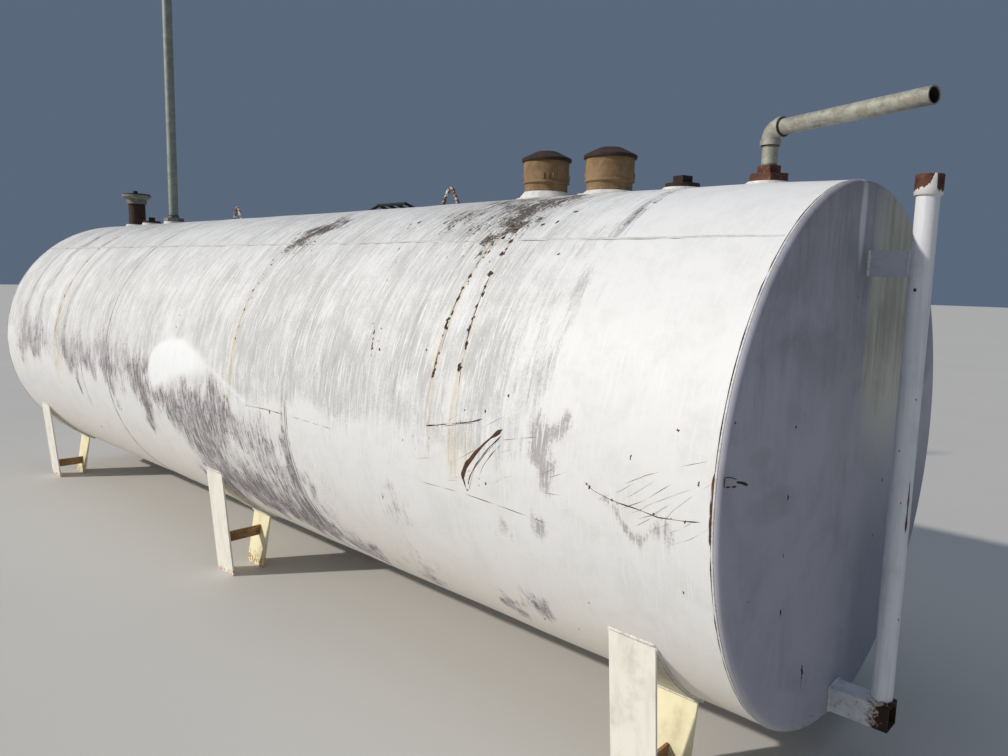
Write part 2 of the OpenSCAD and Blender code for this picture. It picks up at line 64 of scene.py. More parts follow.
# %% Coordinates on the shell
MM = 0.001
NEAR_LOW, NEAR_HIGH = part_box("near_end")
MIDDLE_LOW, MIDDLE_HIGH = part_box("middle_shell_course")
RIM_X = NEAR_HIGH[0]
TANK_LEN = RIM_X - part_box("far_end")[0][0]
TANK_R = (NEAR_HIGH[1] - NEAR_LOW[1]) / 2
AXIS_Z = (NEAR_HIGH[2] + NEAR_LOW[2]) / 2
KNUCKLE = NEAR_HIGH[0] - NEAR_LOW[0]
SEAMS = (MIDDLE_HIGH[0] - RIM_X, MIDDLE_LOW[0] - RIM_X)
LONG_SEAM = 51.0  # degrees above the level of the axis
PULL_MM, PEAK_MM, CROWN_MM = 1.1, 0.9, 9.0  # how far a girth seam, the long seam and the crown depart
PULL_REACH, PEAK_REACH, CROWN_REACH = 0.045, 0.05, (0.95, 0.5)  # metres, metres, metres and radians
CROWN_X, HELD_LENGTH = -0.85, 0.25
print(f"tank {TANK_LEN:.3f} m long, radius {TANK_R:.3f} m, axis {AXIS_Z:.3f} m up, seams at {SEAMS}")


def waviness(x, turn):
    """Radial departure of the shell in metres, at x metres from the near rim and turn radians above the front level.
    Three slow sine products make the rolling waves, a bell pulls in at each girth seam, one peaks at the long seam,
    and a broad one lifts the crown where the fittings were welded in. A last factor brings it all to nothing at
    the two ends, where the flanged plates hold the shell round."""
    waves = (0.8 * np.sin(5.1 * x + 1.3) * np.sin(2 * turn + 0.4)
             + 0.5 * np.sin(9.7 * x + 3 * turn) + 0.35 * np.cos(14.3 * x - 5 * turn))
    pull = sum(-PULL_MM * np.exp(-((x - seam) / PULL_REACH) ** 2) for seam in SEAMS)
    peak = PEAK_MM * np.exp(-(TANK_R * (turn - math.radians(LONG_SEAM)) / PEAK_REACH) ** 2)
    along, round_it = CROWN_REACH
    crown = CROWN_MM * np.exp(-((x - CROWN_X) / along) ** 2 - ((turn - math.pi / 2) / round_it) ** 2)
    hold = np.clip(np.minimum(-x, x + TANK_LEN) / HELD_LENGTH, 0, 1)
    return MM * (waves + pull + peak + crown) * hold * hold * (3 - 2 * hold)


def on_shell(x_mm, angle_deg, lift_mm=0.0):
    """Points on the shell: x along the tank, angle round it, lifted along the radius."""
    x = np.asarray(x_mm, float) * MM
    turn = np.radians(np.asarray(angle_deg, float))
    r = TANK_R + waviness(x, turn) + np.asarray(lift_mm, float) * MM
    x, turn, r = np.broadcast_arrays(x, turn, r)
    return np.stack([x + RIM_X, -r * np.cos(turn), AXIS_Z + r * np.sin(turn)], -1)


# %% [markdown]
# ## Camera
# A photograph's camera can be found again from the object itself. Both rims of the tank, its
# outlines and its upright pipes were fitted with one lens and one place, to within two pixels.
# The camera stood about a metre and a half over the ground, as a phone held at chest height does.

# %% Place the camera
FOCAL_PX, PHOTO_W = 777.765, 1008
SENSOR_MM = 36
CAMERA_AT = (0.7999 + RIM_X, -2.3841, AXIS_Z + 0.5232)
CAMERA_YAW, CAMERA_PITCH, CAMERA_ROLL = (math.radians(a) for a in (133.237, -7.6087, -1.3089))


def placed(name, data):
    """Object for a mesh, a lamp or a camera, linked to the scene."""
    made = bpy.data.objects.new(name, data)
    bpy.context.scene.collection.objects.link(made)
    return made


def camera_matrix(at, yaw, pitch, roll):
    """Looks along (cos pitch cos yaw, cos pitch sin yaw, sin pitch), then rolls about that line."""
    ahead = np.array([math.cos(pitch) * math.cos(yaw), math.cos(pitch) * math.sin(yaw), math.sin(pitch)])
    side = np.cross(ahead, [0, 0, 1])
    side /= np.linalg.norm(side)
    down = np.cross(ahead, side)
    right = math.cos(roll) * side + math.sin(roll) * down
    down = math.cos(roll) * down - math.sin(roll) * side
    return Matrix([[right[i], -down[i], -ahead[i], at[i]] for i in range(3)] + [[0, 0, 0, 1]])


camera_data = bpy.data.cameras.new("camera")
camera_data.sensor_width = SENSOR_MM
camera_data.lens = FOCAL_PX / PHOTO_W * SENSOR_MM
camera_data.clip_end = 300
camera = placed("camera", camera_data)
camera.matrix_world = camera_matrix(CAMERA_AT, CAMERA_YAW, CAMERA_PITCH, CAMERA_ROLL)
bpy.context.scene.camera = camera
print("lens", round(camera_data.lens, 2), "mm")

# %% [markdown]
# ## Tools for surfaces
# Everything new is a grid of points worked out with numpy. One function turns a grid into a mesh,
# and one carries a profile along a path, which is how a weld bead, a bar or a scratch is made.
# A closed skin is asked for each time, so that the meshes are sound outside Blender too.

# %% Grid to mesh
def full_turn(count):
    """Even steps round a full turn, in radians."""
    return np.linspace(0, 2 * np.pi, count, endpoint=False)


def solid(name, points, faces, corners=None, smooth=True, merged=False):
    """Mesh object from points and faces, a repeated corner making a triangle, turned outwards.
    corners holds one (u, v) pair per face corner; merged joins points that coincide."""
    mesh = bpy.data.meshes.new(name)
    quads = [tuple(dict.fromkeys(face)) for face in (faces.tolist() if isinstance(faces, np.ndarray) else faces)]
    mesh.from_pydata(np.asarray(points, float).reshape(-1, 3).tolist(), [], quads)
    if corners is not None:
        mesh.uv_layers.new(name="surface").data.foreach_set("uv", np.asarray(corners, np.float32).ravel())
    work = bmesh.new()
    work.from_mesh(mesh)
    if merged:
        bmesh.ops.remove_doubles(work, verts=work.verts, dist=1e-6)
    bmesh.ops.recalc_face_normals(work, faces=work.faces)
    work.to_mesh(mesh)
    work.free()
    mesh.shade_smooth() if smooth else mesh.shade_flat()
    return placed(name, mesh)


def grid_faces(rows, cols, wrap_rows, wrap_cols):
    """Corner numbers of every cell of a grid, whose last row or column joins the first where it wraps."""
    r = np.arange(rows if wrap_rows else rows - 1)[:, None]
    c = np.arange(cols if wrap_cols else cols - 1)[None, :]
    r2, c2 = (r + 1) % rows, (c + 1) % cols
    cell = np.stack(np.broadcast_arrays(r * cols + c, r2 * cols + c, r2 * cols + c2, r * cols + c2), -1)
    return cell.reshape(-1, 4)


def closed_at_poles(points):
    """Points and faces of a turned grid, turns by profile, whose first and last profile points lie on the axis."""
    turns, cols = points.shape[:2]
    faces = grid_faces(turns, cols, True, False)
    faces = np.where(faces % cols == 0, 0, faces)
    faces = np.where(faces % cols == cols - 1, cols - 1, faces)
    used, where = np.unique(faces, return_inverse=True)
    return points.reshape(-1, 3)[used], where.reshape(-1, 4)


# %% Carry a profile along a path
def carry(name, path, up, profile, closed=False, swell=None):
    """Carries a closed profile of (side, up) offsets in metres along a path of points.
    Side is tangent x up. swell scales the profile at each point, so zeros at the ends close the piece there."""
    path, up, profile = (np.asarray(a, float) for a in (path, up, profile))
    tangent = np.roll(path, -1, 0) - np.roll(path, 1, 0) if closed else np.gradient(path, axis=0)
    tangent /= np.linalg.norm(tangent, axis=1, keepdims=True)
    side = np.cross(tangent, np.broadcast_to(up, path.shape))
    side /= np.linalg.norm(side, axis=1, keepdims=True)
    rise = np.cross(side, tangent)
    scale = np.ones(len(path)) if swell is None else np.asarray(swell, float)
    offsets = profile[None, :, :1] * side[:, None] + profile[None, :, 1:] * rise[:, None]
    ring = path[:, None] + scale[:, None, None] * offsets
    rows, cols = ring.shape[:2]
    faces = grid_faces(rows, cols, closed, True)
    points = ring.reshape(-1, 3)
    if not closed:
        points = np.concatenate([points, path[:1], path[-1:]])
        c = np.arange(cols)
        for start, pole in ((0, rows * cols), ((rows - 1) * cols, rows * cols + 1)):
            cap = np.stack([start + c, start + (c + 1) % cols, 0 * c + pole, 0 * c + pole], 1)
            faces = np.concatenate([faces, cap])
    return solid(name, points, faces)


def round_profile(width, height, count=10, sink=0.35):
    """Low rounded section of a weld bead: half an ellipse that is sunk a little under the surface."""
    turn = full_turn(count)
    lift = np.sin(turn)
    return np.stack([width / 2 * np.cos(turn), height * np.where(lift > 0, lift, lift * sink)], 1)


# %% [markdown]
# ## Colours and nodes
# Colours are picked as hex values, the way a paint chart or a colour picker gives them. Blender
# reckons in linear light, so one function converts them. One small function adds a shader node
# with its settings and links. The materials below then read as recipes: each lays coats of colour
# one over another, and every pattern gets its scale from a size in millimetres.

# %% Colour and node helpers
def linear(hex_value):
    """sRGB hex to linear RGBA: c/12.92 near black, ((c + 0.055)/1.055)^2.4 above."""
    channels = [int(hex_value[i:i + 2], 16) / 255 for i in (1, 3, 5)]
    return tuple(c / 12.92 if c <= 0.04045 else ((c + 0.055) / 1.055) ** 2.4 for c in channels) + (1.0,)


def fill(node, inputs):
    """Sets a node's inputs by name or number: a number, a hex colour, or another node's output, which is linked."""
    for socket, value in inputs.items():
        if isinstance(value, bpy.types.NodeSocket):
            node.id_data.links.new(value, node.inputs[socket])
        else:
            node.inputs[socket].default_value = linear(value) if isinstance(value, str) else value


def add(tree, kind, output, inputs, **settings):
    """Adds one shader node with its settings and links, and gives back one of its outputs."""
    node = tree.nodes.new("ShaderNode" + kind)
    for name, value in settings.items():
        setattr(node, name, value)
    fill(node, inputs)
    return node.outputs[output]


def every(*sizes_mm):
    """Repeats per metre of a pattern whose marks are this many millimetres apart, one number or one for each axis."""
    scales = tuple(1000 / size for size in sizes_mm)
    return scales[0] if len(scales) == 1 else scales


# %% [markdown]
# ## Two steps that every finish shares
# Wear is never one pattern: a coat is lost where a pattern in the film and the weather together
# are strong. So masks are weighed sums, and a coat is laid where its mask has risen past a limit.
# The nearer the two limits, the crisper the edge: flaked paint has a hard one, grime a soft one.

# %% Weigh masks, lay coats
SMOOTH = {"interpolation_type": "SMOOTHSTEP"}
COLOURS = {"data_type": "RGBA"}
NOISE = ("Scale", "Detail", "Roughness", "Distortion")  # a noise's inputs, in the order in which a recipe gives them


def weighed(put, base, *parts):
    """base + value x weight for each part."""
    for value, weight in parts:
        base = put("Math", 0, {0: value, 1: weight, 2: base}, operation="MULTIPLY_ADD")
    return base


def coats(put, colour, *layers):
    """Lays colours over a first one in turn. A layer is (colour, mask, low, high, most): it covers from nothing to
    most, or to all, as its mask rises from low to high. Gives the colour and the share that the last one covers."""
    for over, mask, low, high, *most in layers:
        reach = {"Value": mask, "From Min": low, "From Max": high, "To Max": most[0] if most else 1.0}
        share = put("MapRange", 0, reach, **SMOOTH)
        colour = put("Mix", 2, {0: share, 6: colour, 7: over}, **COLOURS)
    return colour, share


# %% Finish, dress and repaint
def finished(put, shader, colour, relief, mask, smooth, rough, **more):
    """Colour, relief, and a roughness that goes from smooth to rough as a mask rises, on the shader."""
    roughness = put("MapRange", 0, {"Value": mask, "To Min": smooth, "To Max": rough})
    fill(shader, {"Base Color": colour, "Roughness": roughness, "Normal": relief, **more})


def material(name):
    """New material, and for its tree the adding function, weighed, coats, finished, and the Object coordinates."""
    made = bpy.data.materials.new(name)
    made.use_nodes = True
    put = functools.partial(add, made.node_tree)
    weigh, lay = functools.partial(weighed, put), functools.partial(coats, put)
    finish = functools.partial(finished, put, made.node_tree.nodes["Principled BSDF"])
    return made, put, weigh, lay, finish, put("TexCoord", "Object", {})


def dress(piece, paint, slot, *replaced):
    """Gives a new piece its material and its body, and hides the CAD nodes it stands for. slot is not used."""
    piece.data.materials.clear()
    piece.data.materials.append(paint)
    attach(piece, "root")
    if replaced:
        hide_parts(*replaced)


def repaint(paint, *names):
    """Puts a material on CAD nodes, in their object's own slots."""
    for name in names:
        for slot in NODES[name].material_slots:
            slot.link = "OBJECT"
            slot.material = paint


# %% [markdown]
# ## The shell's skin
# The shell is mild steel plate, rolled into three courses and butt-welded. The CAD courses are
# exact cylinders; each is replaced by a closed skin on a fine grid, with the waves that a real
# shell has. The grid also carries the wear: where rain has left grime, where the paint is rubbed
# down to its grey primer, where rust has stained it. Those are soft clouds, so they are worked out
# once per grid point and kept as attributes; the crisp flakes come later, from noise.

# %% Clouds of wear
WEAR = {  # each cloud is (x mm, angle deg, half length mm, half height deg, strength)
    "rubbed": [
        (-2460, -8.5, 320, 12, 1.05), (-2010, -19, 190, 14, 0.66), (-2060, -38, 340, 9, 1.15),
        (-2330, -33, 190, 8, 0.9), (-2640, -25, 190, 12, 0.8), (-1850, -22, 34, 26, 0.95), (-1735, -20, 50, 12, 0.5),
        (-655, -34, 80, 5, 0.95), (-785, -43, 60, 9, 0.9), (-1215, -20, 90, 13, 0.6), (-1250, -46, 110, 6, 0.8),
        (-1620, -45, 180, 7, 0.8), (-520, 5, 45, 5, 0.42), (-4940, 2, 290, 9, 0.7), (-4230, -3, 110, 6, 0.7),
        (-4315, 6, 32, 20, 0.75), (-3950, 0, 150, 7, 0.7), (-3650, -4, 60, 18, 0.75), (-3590, 2, 40, 22, 0.5),
        (-3250, -2, 130, 14, 0.75), (-3190, -16, 45, 14, 0.8), (-2890, -10, 150, 10, 0.7), (-3420, -4, 330, 8, 0.44),
        (-4140, -11, 30, 5, 0.8), (-4040, -14, 12, 14, 0.85), (-5200, -6, 150, 10, 0.42), (-3050, -7, 170, 9, 0.32),
        (-4050, 0, 300, 7, 0.28), (-4650, 2, 220, 9, 0.34), (-1050, -3, 120, 5, 0.4), (-1450, 2, 220, 3, 0.35),
        (-370, 0, 30, 14, 0.3), (-2700, -40, 260, 8, 0.7), (-3900, -30, 60, 2, 0.6),
    ],
    "washed": [
        (-522, 4.6, 66, 5.2, 1.2), (-556, 6, 30, 4, 0.5), (-548, 0.5, 44, 3, 0.6), (-466, 7.5, 28, 4, 0.6),
        (-560, -12, 34, 6, 0.85), (-490, -9, 40, 4, 0.6), (-700, -18, 70, 4, 0.75), (-310, -3.6, 45, 1.5, 0.8),
        (-250, -4.5, 42, 2, 0.95), (-190, -5.5, 46, 2.4, 0.75), (-135, -6.5, 36, 3.2, 0.75),
        (-3450, 1, 480, 11, 0.95), (-4250, 2, 400, 12, 0.95), (-5010, 5, 330, 14, 1.05), (-2750, -13, 240, 9, 0.6),
        (-2250, -22, 380, 12, 0.5), (-1700, -27, 260, 12, 0.6), (-1200, -38, 300, 10, 0.6), (-4836, 30, 26, 30, 0.6),
        (-5106, 24, 24, 32, 0.6), (-3700, 10, 60, 12, 0.7), (-1500, -1, 260, 4, 0.6), (-1050, -1, 160, 5, 0.6),
    ],
    "sooted": [
        (-2165, 57, 80, 10, 1.25), (-2245, 53, 60, 6, 0.72), (-2090, 62, 90, 7, 0.68), (-1080, 61, 125, 12, 1.15),
        (-1010, 57, 42, 15, 1.3), (-1325, 60, 90, 10, 0.9), (-1555, 58, 40, 5, 0.7), (-960, 74, 70, 12, 1.1),
        (-1230, 74, 150, 9, 0.7), (-540, 71, 30, 14, 0.78), (-530, 60, 22, 8, 0.55), (-4836, 58, 55, 9, 0.85),
        (-5106, 58, 34, 6, 0.7), (-4505, 56, 36, 6, 0.9), (-3655, 54, 22, 4, 1.0), (-2315, 52, 60, 4, 0.55),
        (-5225, 62, 45, 9, 0.5), (-1200, 80, 300, 7, 0.5), (-640, 82, 110, 7, 0.5), (-2280, 68, 130, 12, 0.4),
        (-4250, 74, 240, 9, 0.45), (-4000, 60, 160, 10, 0.3), (-1700, 66, 60, 14, 0.35), (-880, 66, 50, 10, 0.5),
        (-2700, 53, 30, 3, 0.7), (-1110, 40, 12, 16, 0.22), (-2240, 44, 30, 8, 0.35),
    ],
    "stained": [
        (-2274, 20, 24, 34, 1.0), (-4440, 4, 60, 18, 1.25), (-4470, 32, 38, 26, 1.0), (-1010, 28, 12, 26, 1.5),
        (-996, 10, 8, 20, 1.0), (-930, 42, 10, 14, 1.2), (-898, 20, 13, 24, 1.4), (-872, 10, 8, 22, 0.9),
        (-1090, 46, 9, 14, 1.1), (-5100, 6, 44, 26, 1.15), (-2262, 14, 20, 14, 0.5), (-800, -2, 40, 5, 0.9),
        (-880, 1, 66, 5, 0.55), (-1030, 54, 50, 9, 0.7), (-960, 48, 40, 6, 0.6), (-230, -4.5, 120, 3, 0.5),
        (-3655, 26, 14, 26, 0.6), (-1345, 12, 30, 8, 0.4), (-2275, -8, 20, 10, 0.4), (-300, -32, 130, 6, 0.25),
        (-1950, -3, 16, 2, 0.9),
    ],
    "rained": [
        (-720, 20, 56, 20, 0.3), (-640, 8, 60, 9, 0.32), (-610, 32, 44, 20, 0.34), (-560, 60, 40, 14, 0.4),
        (-4836, 40, 42, 26, 0.9), (-5106, 22, 26, 34, 0.9), (-4330, 22, 30, 32, 0.7), (-545, 40, 16, 28, 0.6),
        (-575, 20, 39, 15, 0.3), (-470, 24, 14, 16, 0.5), (-3700, 30, 40, 26, 0.3), (-3950, 34, 190, 20, 0.35),
        (-3560, 30, 120, 24, 0.25), (-2100, 22, 170, 24, 0.45), (-1800, 18, 60, 30, 0.4), (-1520, 12, 230, 16, 0.4),
        (-1160, 20, 60, 26, 0.45), (-820, 20, 60, 26, 0.4), (-2560, 20, 80, 16, 0.35), (-3160, 20, 90, 18, 0.3),
        (-1300, 70, 330, 16, 0.4), (-2600, 72, 400, 12, 0.4), (-4500, 74, 700, 14, 0.6), (-5250, 40, 120, 30, 0.4),
    ],
}
SPRAY_X = [-3110, -3060, -2980, -2850, -2743, -2560, -2400, -2300, -2143]
SPRAY_TOP = [1, 8, 11.5, 13.8, 13.8, 11, 6.5, 3.2, -1.2]
SPRAY_LOW = [-1, -5, -3, 1.0, 2.5, 3.0, 2.2, 1.2, -2.4]
SPRAY_FADE = ([-3165, -3030, -2740, -2600, -2450, -2143], [0.0, 1.0, 1.0, 0.75, 0.4, 0.0])
TAIL = ([-2700, -2443, -2343, -2143], [11.0, 6.0, 3.4, -1.4])
MOST_WEAR, NARROW = 1.2, 40
print("clouds of wear:", {name: len(table) for name, table in WEAR.items()})


# %% Wear at any place
def step(value, low, high):
    """Smooth step: 3 t^2 - 2 t^3, t the value's place between low and high."""
    t = np.clip((value - low) / (high - low), 0, 1)
    return t * t * (3 - 2 * t)


def clouds(table, x_mm, angle):
    """Sum of a table's soft ovals, strength x exp(-d^2), which levels off at MOST_WEAR.
    Slow sines bend the edges so that none looks round, but one that is narrow along the tank keeps its line."""
    bent_x = x_mm + 26 * np.sin(angle * 0.31 + x_mm * 0.013) + 15 * np.sin(angle * 0.83 - x_mm * 0.021)
    bent_angle = angle + 2.6 * np.sin(x_mm * 0.019 + angle * 0.11) + 1.7 * np.sin(x_mm * 0.047)
    total = np.zeros(np.broadcast(x_mm, angle).shape)
    for x, at, length, height, strength in table:
        across = x_mm if length < NARROW else bent_x
        total += strength * np.exp(-((across - x) / length) ** 2 - ((bent_angle - at) / height) ** 2)
    return MOST_WEAR * np.tanh(total / MOST_WEAR)


def both_ways(x_mm, angle):
    """The back of the tank, which the photograph doesn't show, gets the front's wear with its ends changed over."""
    front = np.cos(np.radians(angle)) >= 0
    folded = np.where(front, angle, 180 - angle)
    folded = np.where(folded > 180, folded - 360, folded)
    return np.where(front, x_mm, -round(TANK_LEN / MM) - x_mm), folded


def wear_of_shell(x_mm, angle):
    """Every wear attribute of the shell on a grid of x and angle, and low, which carries painted warm light from the
    ground on the lower round. Grime ends at a tide line just below the axis.
    """
    x, at = both_ways(x_mm, angle)
    tide = -3 + 1.6 * np.sin(x / 310.0) + 1.2 * np.sin(x / 97.0 + 1) + 3.5 * step(-x, 3700, 5200)
    along = 0.25 + 0.75 * step(-x, 380, 900)
    spray = (np.interp(x, *SPRAY_FADE) * step(np.interp(x, SPRAY_X, SPRAY_TOP) - at, -2.4, 3.2)
             * step(at - np.interp(x, SPRAY_X, SPRAY_LOW), -6.0, 4.5))
    tail = np.exp(-((at - np.interp(x, *TAIL)) / 1.2) ** 2) * step(x, -2720, -2600) * (x < TAIL[0][-1])
    return {name: clouds(table, x, at) for name, table in WEAR.items()} | {
        "sprayed": np.maximum(spray, 0.5 * tail),
        "grimed": along * step(at, tide - 2.5, tide + 7) * (0.80 + 0.08 * step(at, 30, 80)),
        # low rises towards the bottom of the round; the film is lighter and warmer there as painted warm light from
        # the ground, not wear.
        "low": 1 - step(at, -55, 0)}


# %% Build the three courses
SHELL_SLOT = "weathered_white_paint"
WALL = 6 * MM
ROWS = 384
OUTER_STEP = 9.8 * MM
INNER_COLUMNS = 9


def shell_skin(name, x_from, x_to):
    """Closed skin of one course: close outer columns from one end to the other, then a few inner columns back.
    A point is on_shell(x, angle), the inner ones one wall further in, so the ends close by themselves."""
    outer = np.linspace(x_from, x_to, round((x_from - x_to) / OUTER_STEP))
    loop_x = np.concatenate([outer, np.linspace(x_to, x_from, INNER_COLUMNS)]) / MM
    angle = np.linspace(270, -90, ROWS, endpoint=False)
    cols = len(loop_x)
    lift = np.where(np.arange(cols) < len(outer), 0.0, -WALL / MM)
    points = on_shell(loop_x[None, :], angle[:, None], lift[None, :])
    u, v = loop_x * MM, TANK_R * np.radians(90 - angle)
    v = np.append(v, 2 * v[-1] - v[-2])
    r, c = np.repeat(np.arange(ROWS), cols), np.tile(np.arange(cols), ROWS)
    c2 = (c + 1) % cols
    corners = np.stack([np.stack([u[i], v[j]], 1) for i, j in ((c, r), (c, r + 1), (c2, r + 1), (c2, r))], 1)
    piece = solid(name, points, grid_faces(ROWS, cols, True, True), corners)
    for key, values in wear_of_shell(*np.broadcast_arrays(loop_x[None, :], angle[:, None])).items():
        layer = piece.data.attributes.new(key, "FLOAT", "POINT")
        layer.data.foreach_set("value", values.astype(np.float32).ravel())
    return piece


PLACES = ("near", "middle", "far")
BOUNDS_X = [-KNUCKLE, *SEAMS, -TANK_LEN + KNUCKLE]
shell = [shell_skin(f"{part}_course_skin", *BOUNDS_X[i:i + 2]) for i, part in enumerate(PLACES)]
print("skin faces:", [len(s.data.polygons) for s in shell])

# %% [markdown]
# ## The shell's paint
# Oil-based white enamel, brushed and rolled over mild steel many years ago. Rain has drawn grey
# runs down from the crown as far as a tide line; below it the film is rubbed through to a
# grey-violet primer, in ragged upright dabs like a dry brush; rust bleeds from weld spots. All of
# that is layered from the film outwards, each coat by the wear of its place and a pattern of its
# own size. The patterns use the skin's own map, metres along and metres down, so that they run
# down the round.

# %% Oil enamel on rolled steel
ENAMEL_IOR = 1.48
ATTRIBUTES = ("rubbed", "washed", "sooted", "stained", "rained", "sprayed", "grimed", "low")


def oil_enamel_on_rolled_steel():
    """Coats, from the film outwards: white enamel, a lighter warmer film low on the round that is painted warm light
    from the ground, cream stains, rain grime and its dark runs, rust stains, clean streaks, a wash and dabs of grey
    primer, fresh overspray, bare primer, more streaks, soot. The patterns cloud and fleck are as wide as they are
    high;
    broad, runs, scrapes and dabs are drawn out downwards."""
    made, put, weigh, lay, finish, _ = material("oil_enamel_on_rolled_steel")
    flat = put("UVMap", "UV", {}, uv_map="surface")
    rubbed, washed, sooted, stained, rained, sprayed, grimed, low = (
        put("Attribute", "Fac", {}, attribute_name=name) for name in ATTRIBUTES)
    cloud, fleck = (put("TexNoise", "Fac", {"Vector": flat} | dict(zip(NOISE, values))) for values in (
        (every(160), 9, 0.76, 0.3), (every(9), 5, 0.75, 0.3)))
    broad, runs, scrapes, dabs = (
        put("TexNoise", "Fac", dict(zip(NOISE, (1, *values))) | {"Vector": put("Mapping", 0, {
            "Vector": flat, "Scale": (*every(*size), 1), "Rotation": (0, 0, turn)})})
        for size, turn, *values in (
            ((42, 420), 0, 8, 0.74, 0.3), ((12, 170), 0, 6, 0.68, 0.5),
            ((8, 120), 0.09, 5, 0.7, 0.8), ((25, 68), 0, 9, 0.74, 0.35)))
    grey_primer, _ = lay("#8C8586", ("#635B5D", fleck, 0.40, 0.62))
    thick_soot, _ = lay("#685A4E", ("#2A211C", fleck, 0.42, 0.58))

    # The coat on low is a lighter, warmer film on the lower round: painted warm light bounced from the ground.
    film, _ = lay(
        "#E9E9E8", ("#E0E0DE", cloud, 0.42, 0.66), ("#EDE6DA", low, 0.2, 1.0, 0.8),
        ("#E4DCC8", weigh(-0.25, (stained, 0.9), (runs, 0.5)), 0.15, 1.0, 0.85))
    dirt = weigh(0.0, (broad, 0.44), (cloud, 0.26), (runs, 0.22), (fleck, 0.28), (grimed, 0.28), (rained, 0.20))
    grime, grimy = lay(film, ("#BFBFBD", dirt, 0.72, 0.94, 0.95))
    film = put("Mix", 2, {0: put("MapRange", 0, {"Value": grimed, "From Max": 0.3}), 6: film, 7: grime}, **COLOURS)
    film, bare = lay(
        film,
        ("#7F7A77", weigh(-0.27, (runs, 0.9), (fleck, 0.2), (grimed, 0.05), (rained, 0.30), (sooted, 0.24)),
         0.42, 0.74, 0.70),
        ("#A8967A", weigh(-0.72, (stained, 0.9), (runs, 0.5)), 0.10, 0.72, 0.85),
        ("#F2F3F2", weigh(-0.22, (scrapes, 0.9), (fleck, 0.3), (grimed, 0.10)), 0.51, 0.62, 0.62),
        ("#A49EA2", weigh(-0.15, (washed, 0.42), (dabs, 0.55), (fleck, 0.40), (scrapes, -0.25)), 0.42, 0.60, 0.85),
        ("#A19BA0", weigh(-0.42, (rubbed, 0.54), (dabs, 0.60), (runs, 0.45), (fleck, 0.20)), 0.40, 0.62, 0.88),
        ("#F6F8F9", weigh(-0.12, (sprayed, 1.0), (cloud, 0.12), (fleck, 0.12)), 0.08, 0.80, 0.96),
        (grey_primer, weigh(-0.14, (dabs, 0.9), (fleck, 0.14), (rubbed, 0.30), (sprayed, -0.04)), 0.60, 0.645, 0.93))
    film, black = lay(
        film, ("#ECEBEB", weigh(0.0, (scrapes, 1.0)), 0.535, 0.59, 0.75),
        (thick_soot, weigh(-0.40, (dabs, 1.0), (fleck, 0.45), (sooted, 0.34)), 0.58, 0.68, 0.92))
    worn = put("Math", 0, {0: bare, 1: black}, operation="MAXIMUM")
    skin = put("TexNoise", "Fac", {"Vector": flat} | dict(zip(NOISE, (every(5), 3))))
    peel = put("Bump", 0, {"Height": skin, "Strength": 0.12, "Distance": 0.6 * MM})
    flakes = put("Bump", 0, {"Height": worn, "Strength": 0.4, "Distance": 0.5 * MM, "Normal": peel}, invert=True)
    finish(film, flakes, weigh(0.0, (worn, 1.0), (grimy, 0.4)), 0.58, 0.86, IOR=ENAMEL_IOR)
    return made


shell_paint = oil_enamel_on_rolled_steel()
for skin, part in zip(shell, PLACES):
    dress(skin, shell_paint, SHELL_SLOT, f"{part}_shell_course")
print("nodes in the shell's paint:", len(shell_paint.node_tree.nodes))

# %% [markdown]
# ## The two ends
# Each end is a flat plate whose edge was rolled over a former to a quarter round, then welded into
# the shell. It is a surface of revolution, so its profile is carried round the axis: out along the
# face, over the rounded edge, and back along the inside. Rolled plate dishes a little between its
# welds, which shows as a soft change of light, so the face gets a millimetre of that.

# %% Build the ends
RIM_WIDTH, POLE_WIDTH = 0.12, 0.1  # the dish dies out over these, at the rounded edge and at the middle


def end_skin(name, rim_x, facing):
    """Profile (distance from the axis, depth behind the face) turned round the tank's axis, closed at the poles."""
    flat_r = TANK_R - KNUCKLE
    arc = np.linspace(0, np.pi / 2, 9)[1:]
    face = np.linspace(0, flat_r, 42)
    back = face[::-1] * (TANK_R - 3 * WALL) / flat_r
    radius = np.concatenate([face, flat_r + KNUCKLE * np.sin(arc), [TANK_R - WALL, TANK_R - WALL], back])
    depth = np.concatenate([0 * face, KNUCKLE * (1 - np.cos(arc)), [KNUCKLE, KNUCKLE * 0.8], 0 * face + WALL])
    turn = full_turn(ROWS)[:, None]
    dish = MM * (0.9 * np.sin(radius * 6 + 2 * turn) + 0.6 * np.cos(radius * 9 - 3 * turn))
    dish = dish * np.clip((flat_r - radius) / RIM_WIDTH, 0, 1) * np.clip(radius / POLE_WIDTH, 0, 1)
    x = rim_x - facing * (depth + np.abs(dish))
    points = np.stack(np.broadcast_arrays(x, radius * np.cos(turn), AXIS_Z + radius * np.sin(turn)), -1)
    return solid(name, *closed_at_poles(points))


near_face = end_skin("near_end_skin", RIM_X, 1)
far_face = end_skin("far_end_skin", RIM_X - TANK_LEN, -1)
print("end faces:", len(near_face.data.polygons))

# %% [markdown]
# ## The ends' paint
# The same enamel, and an end keeps its dirt: fine upright runs from the top edge, a grey-green
# film of algae high on the right, and grey smudges. The near end stands in shade, and its film is
# painted darker and bluer than the far end's as painted shade; a darker blue-grey panel low beside
# the standpipe is painted shade too. The runs are upright here, so Object coordinates serve: noise
# is squeezed across and stretched down.

# %% Oil enamel on the flat ends
SMUDGES = (  # (y and height from the axis in metres, half sizes in metres, how much)
    (-0.52, -0.04, 0.24, 0.07, 0.30), (-0.62, 0.10, 0.10, 0.04, 0.25), (-0.12, 0.30, 0.20, 0.5, 0.32))


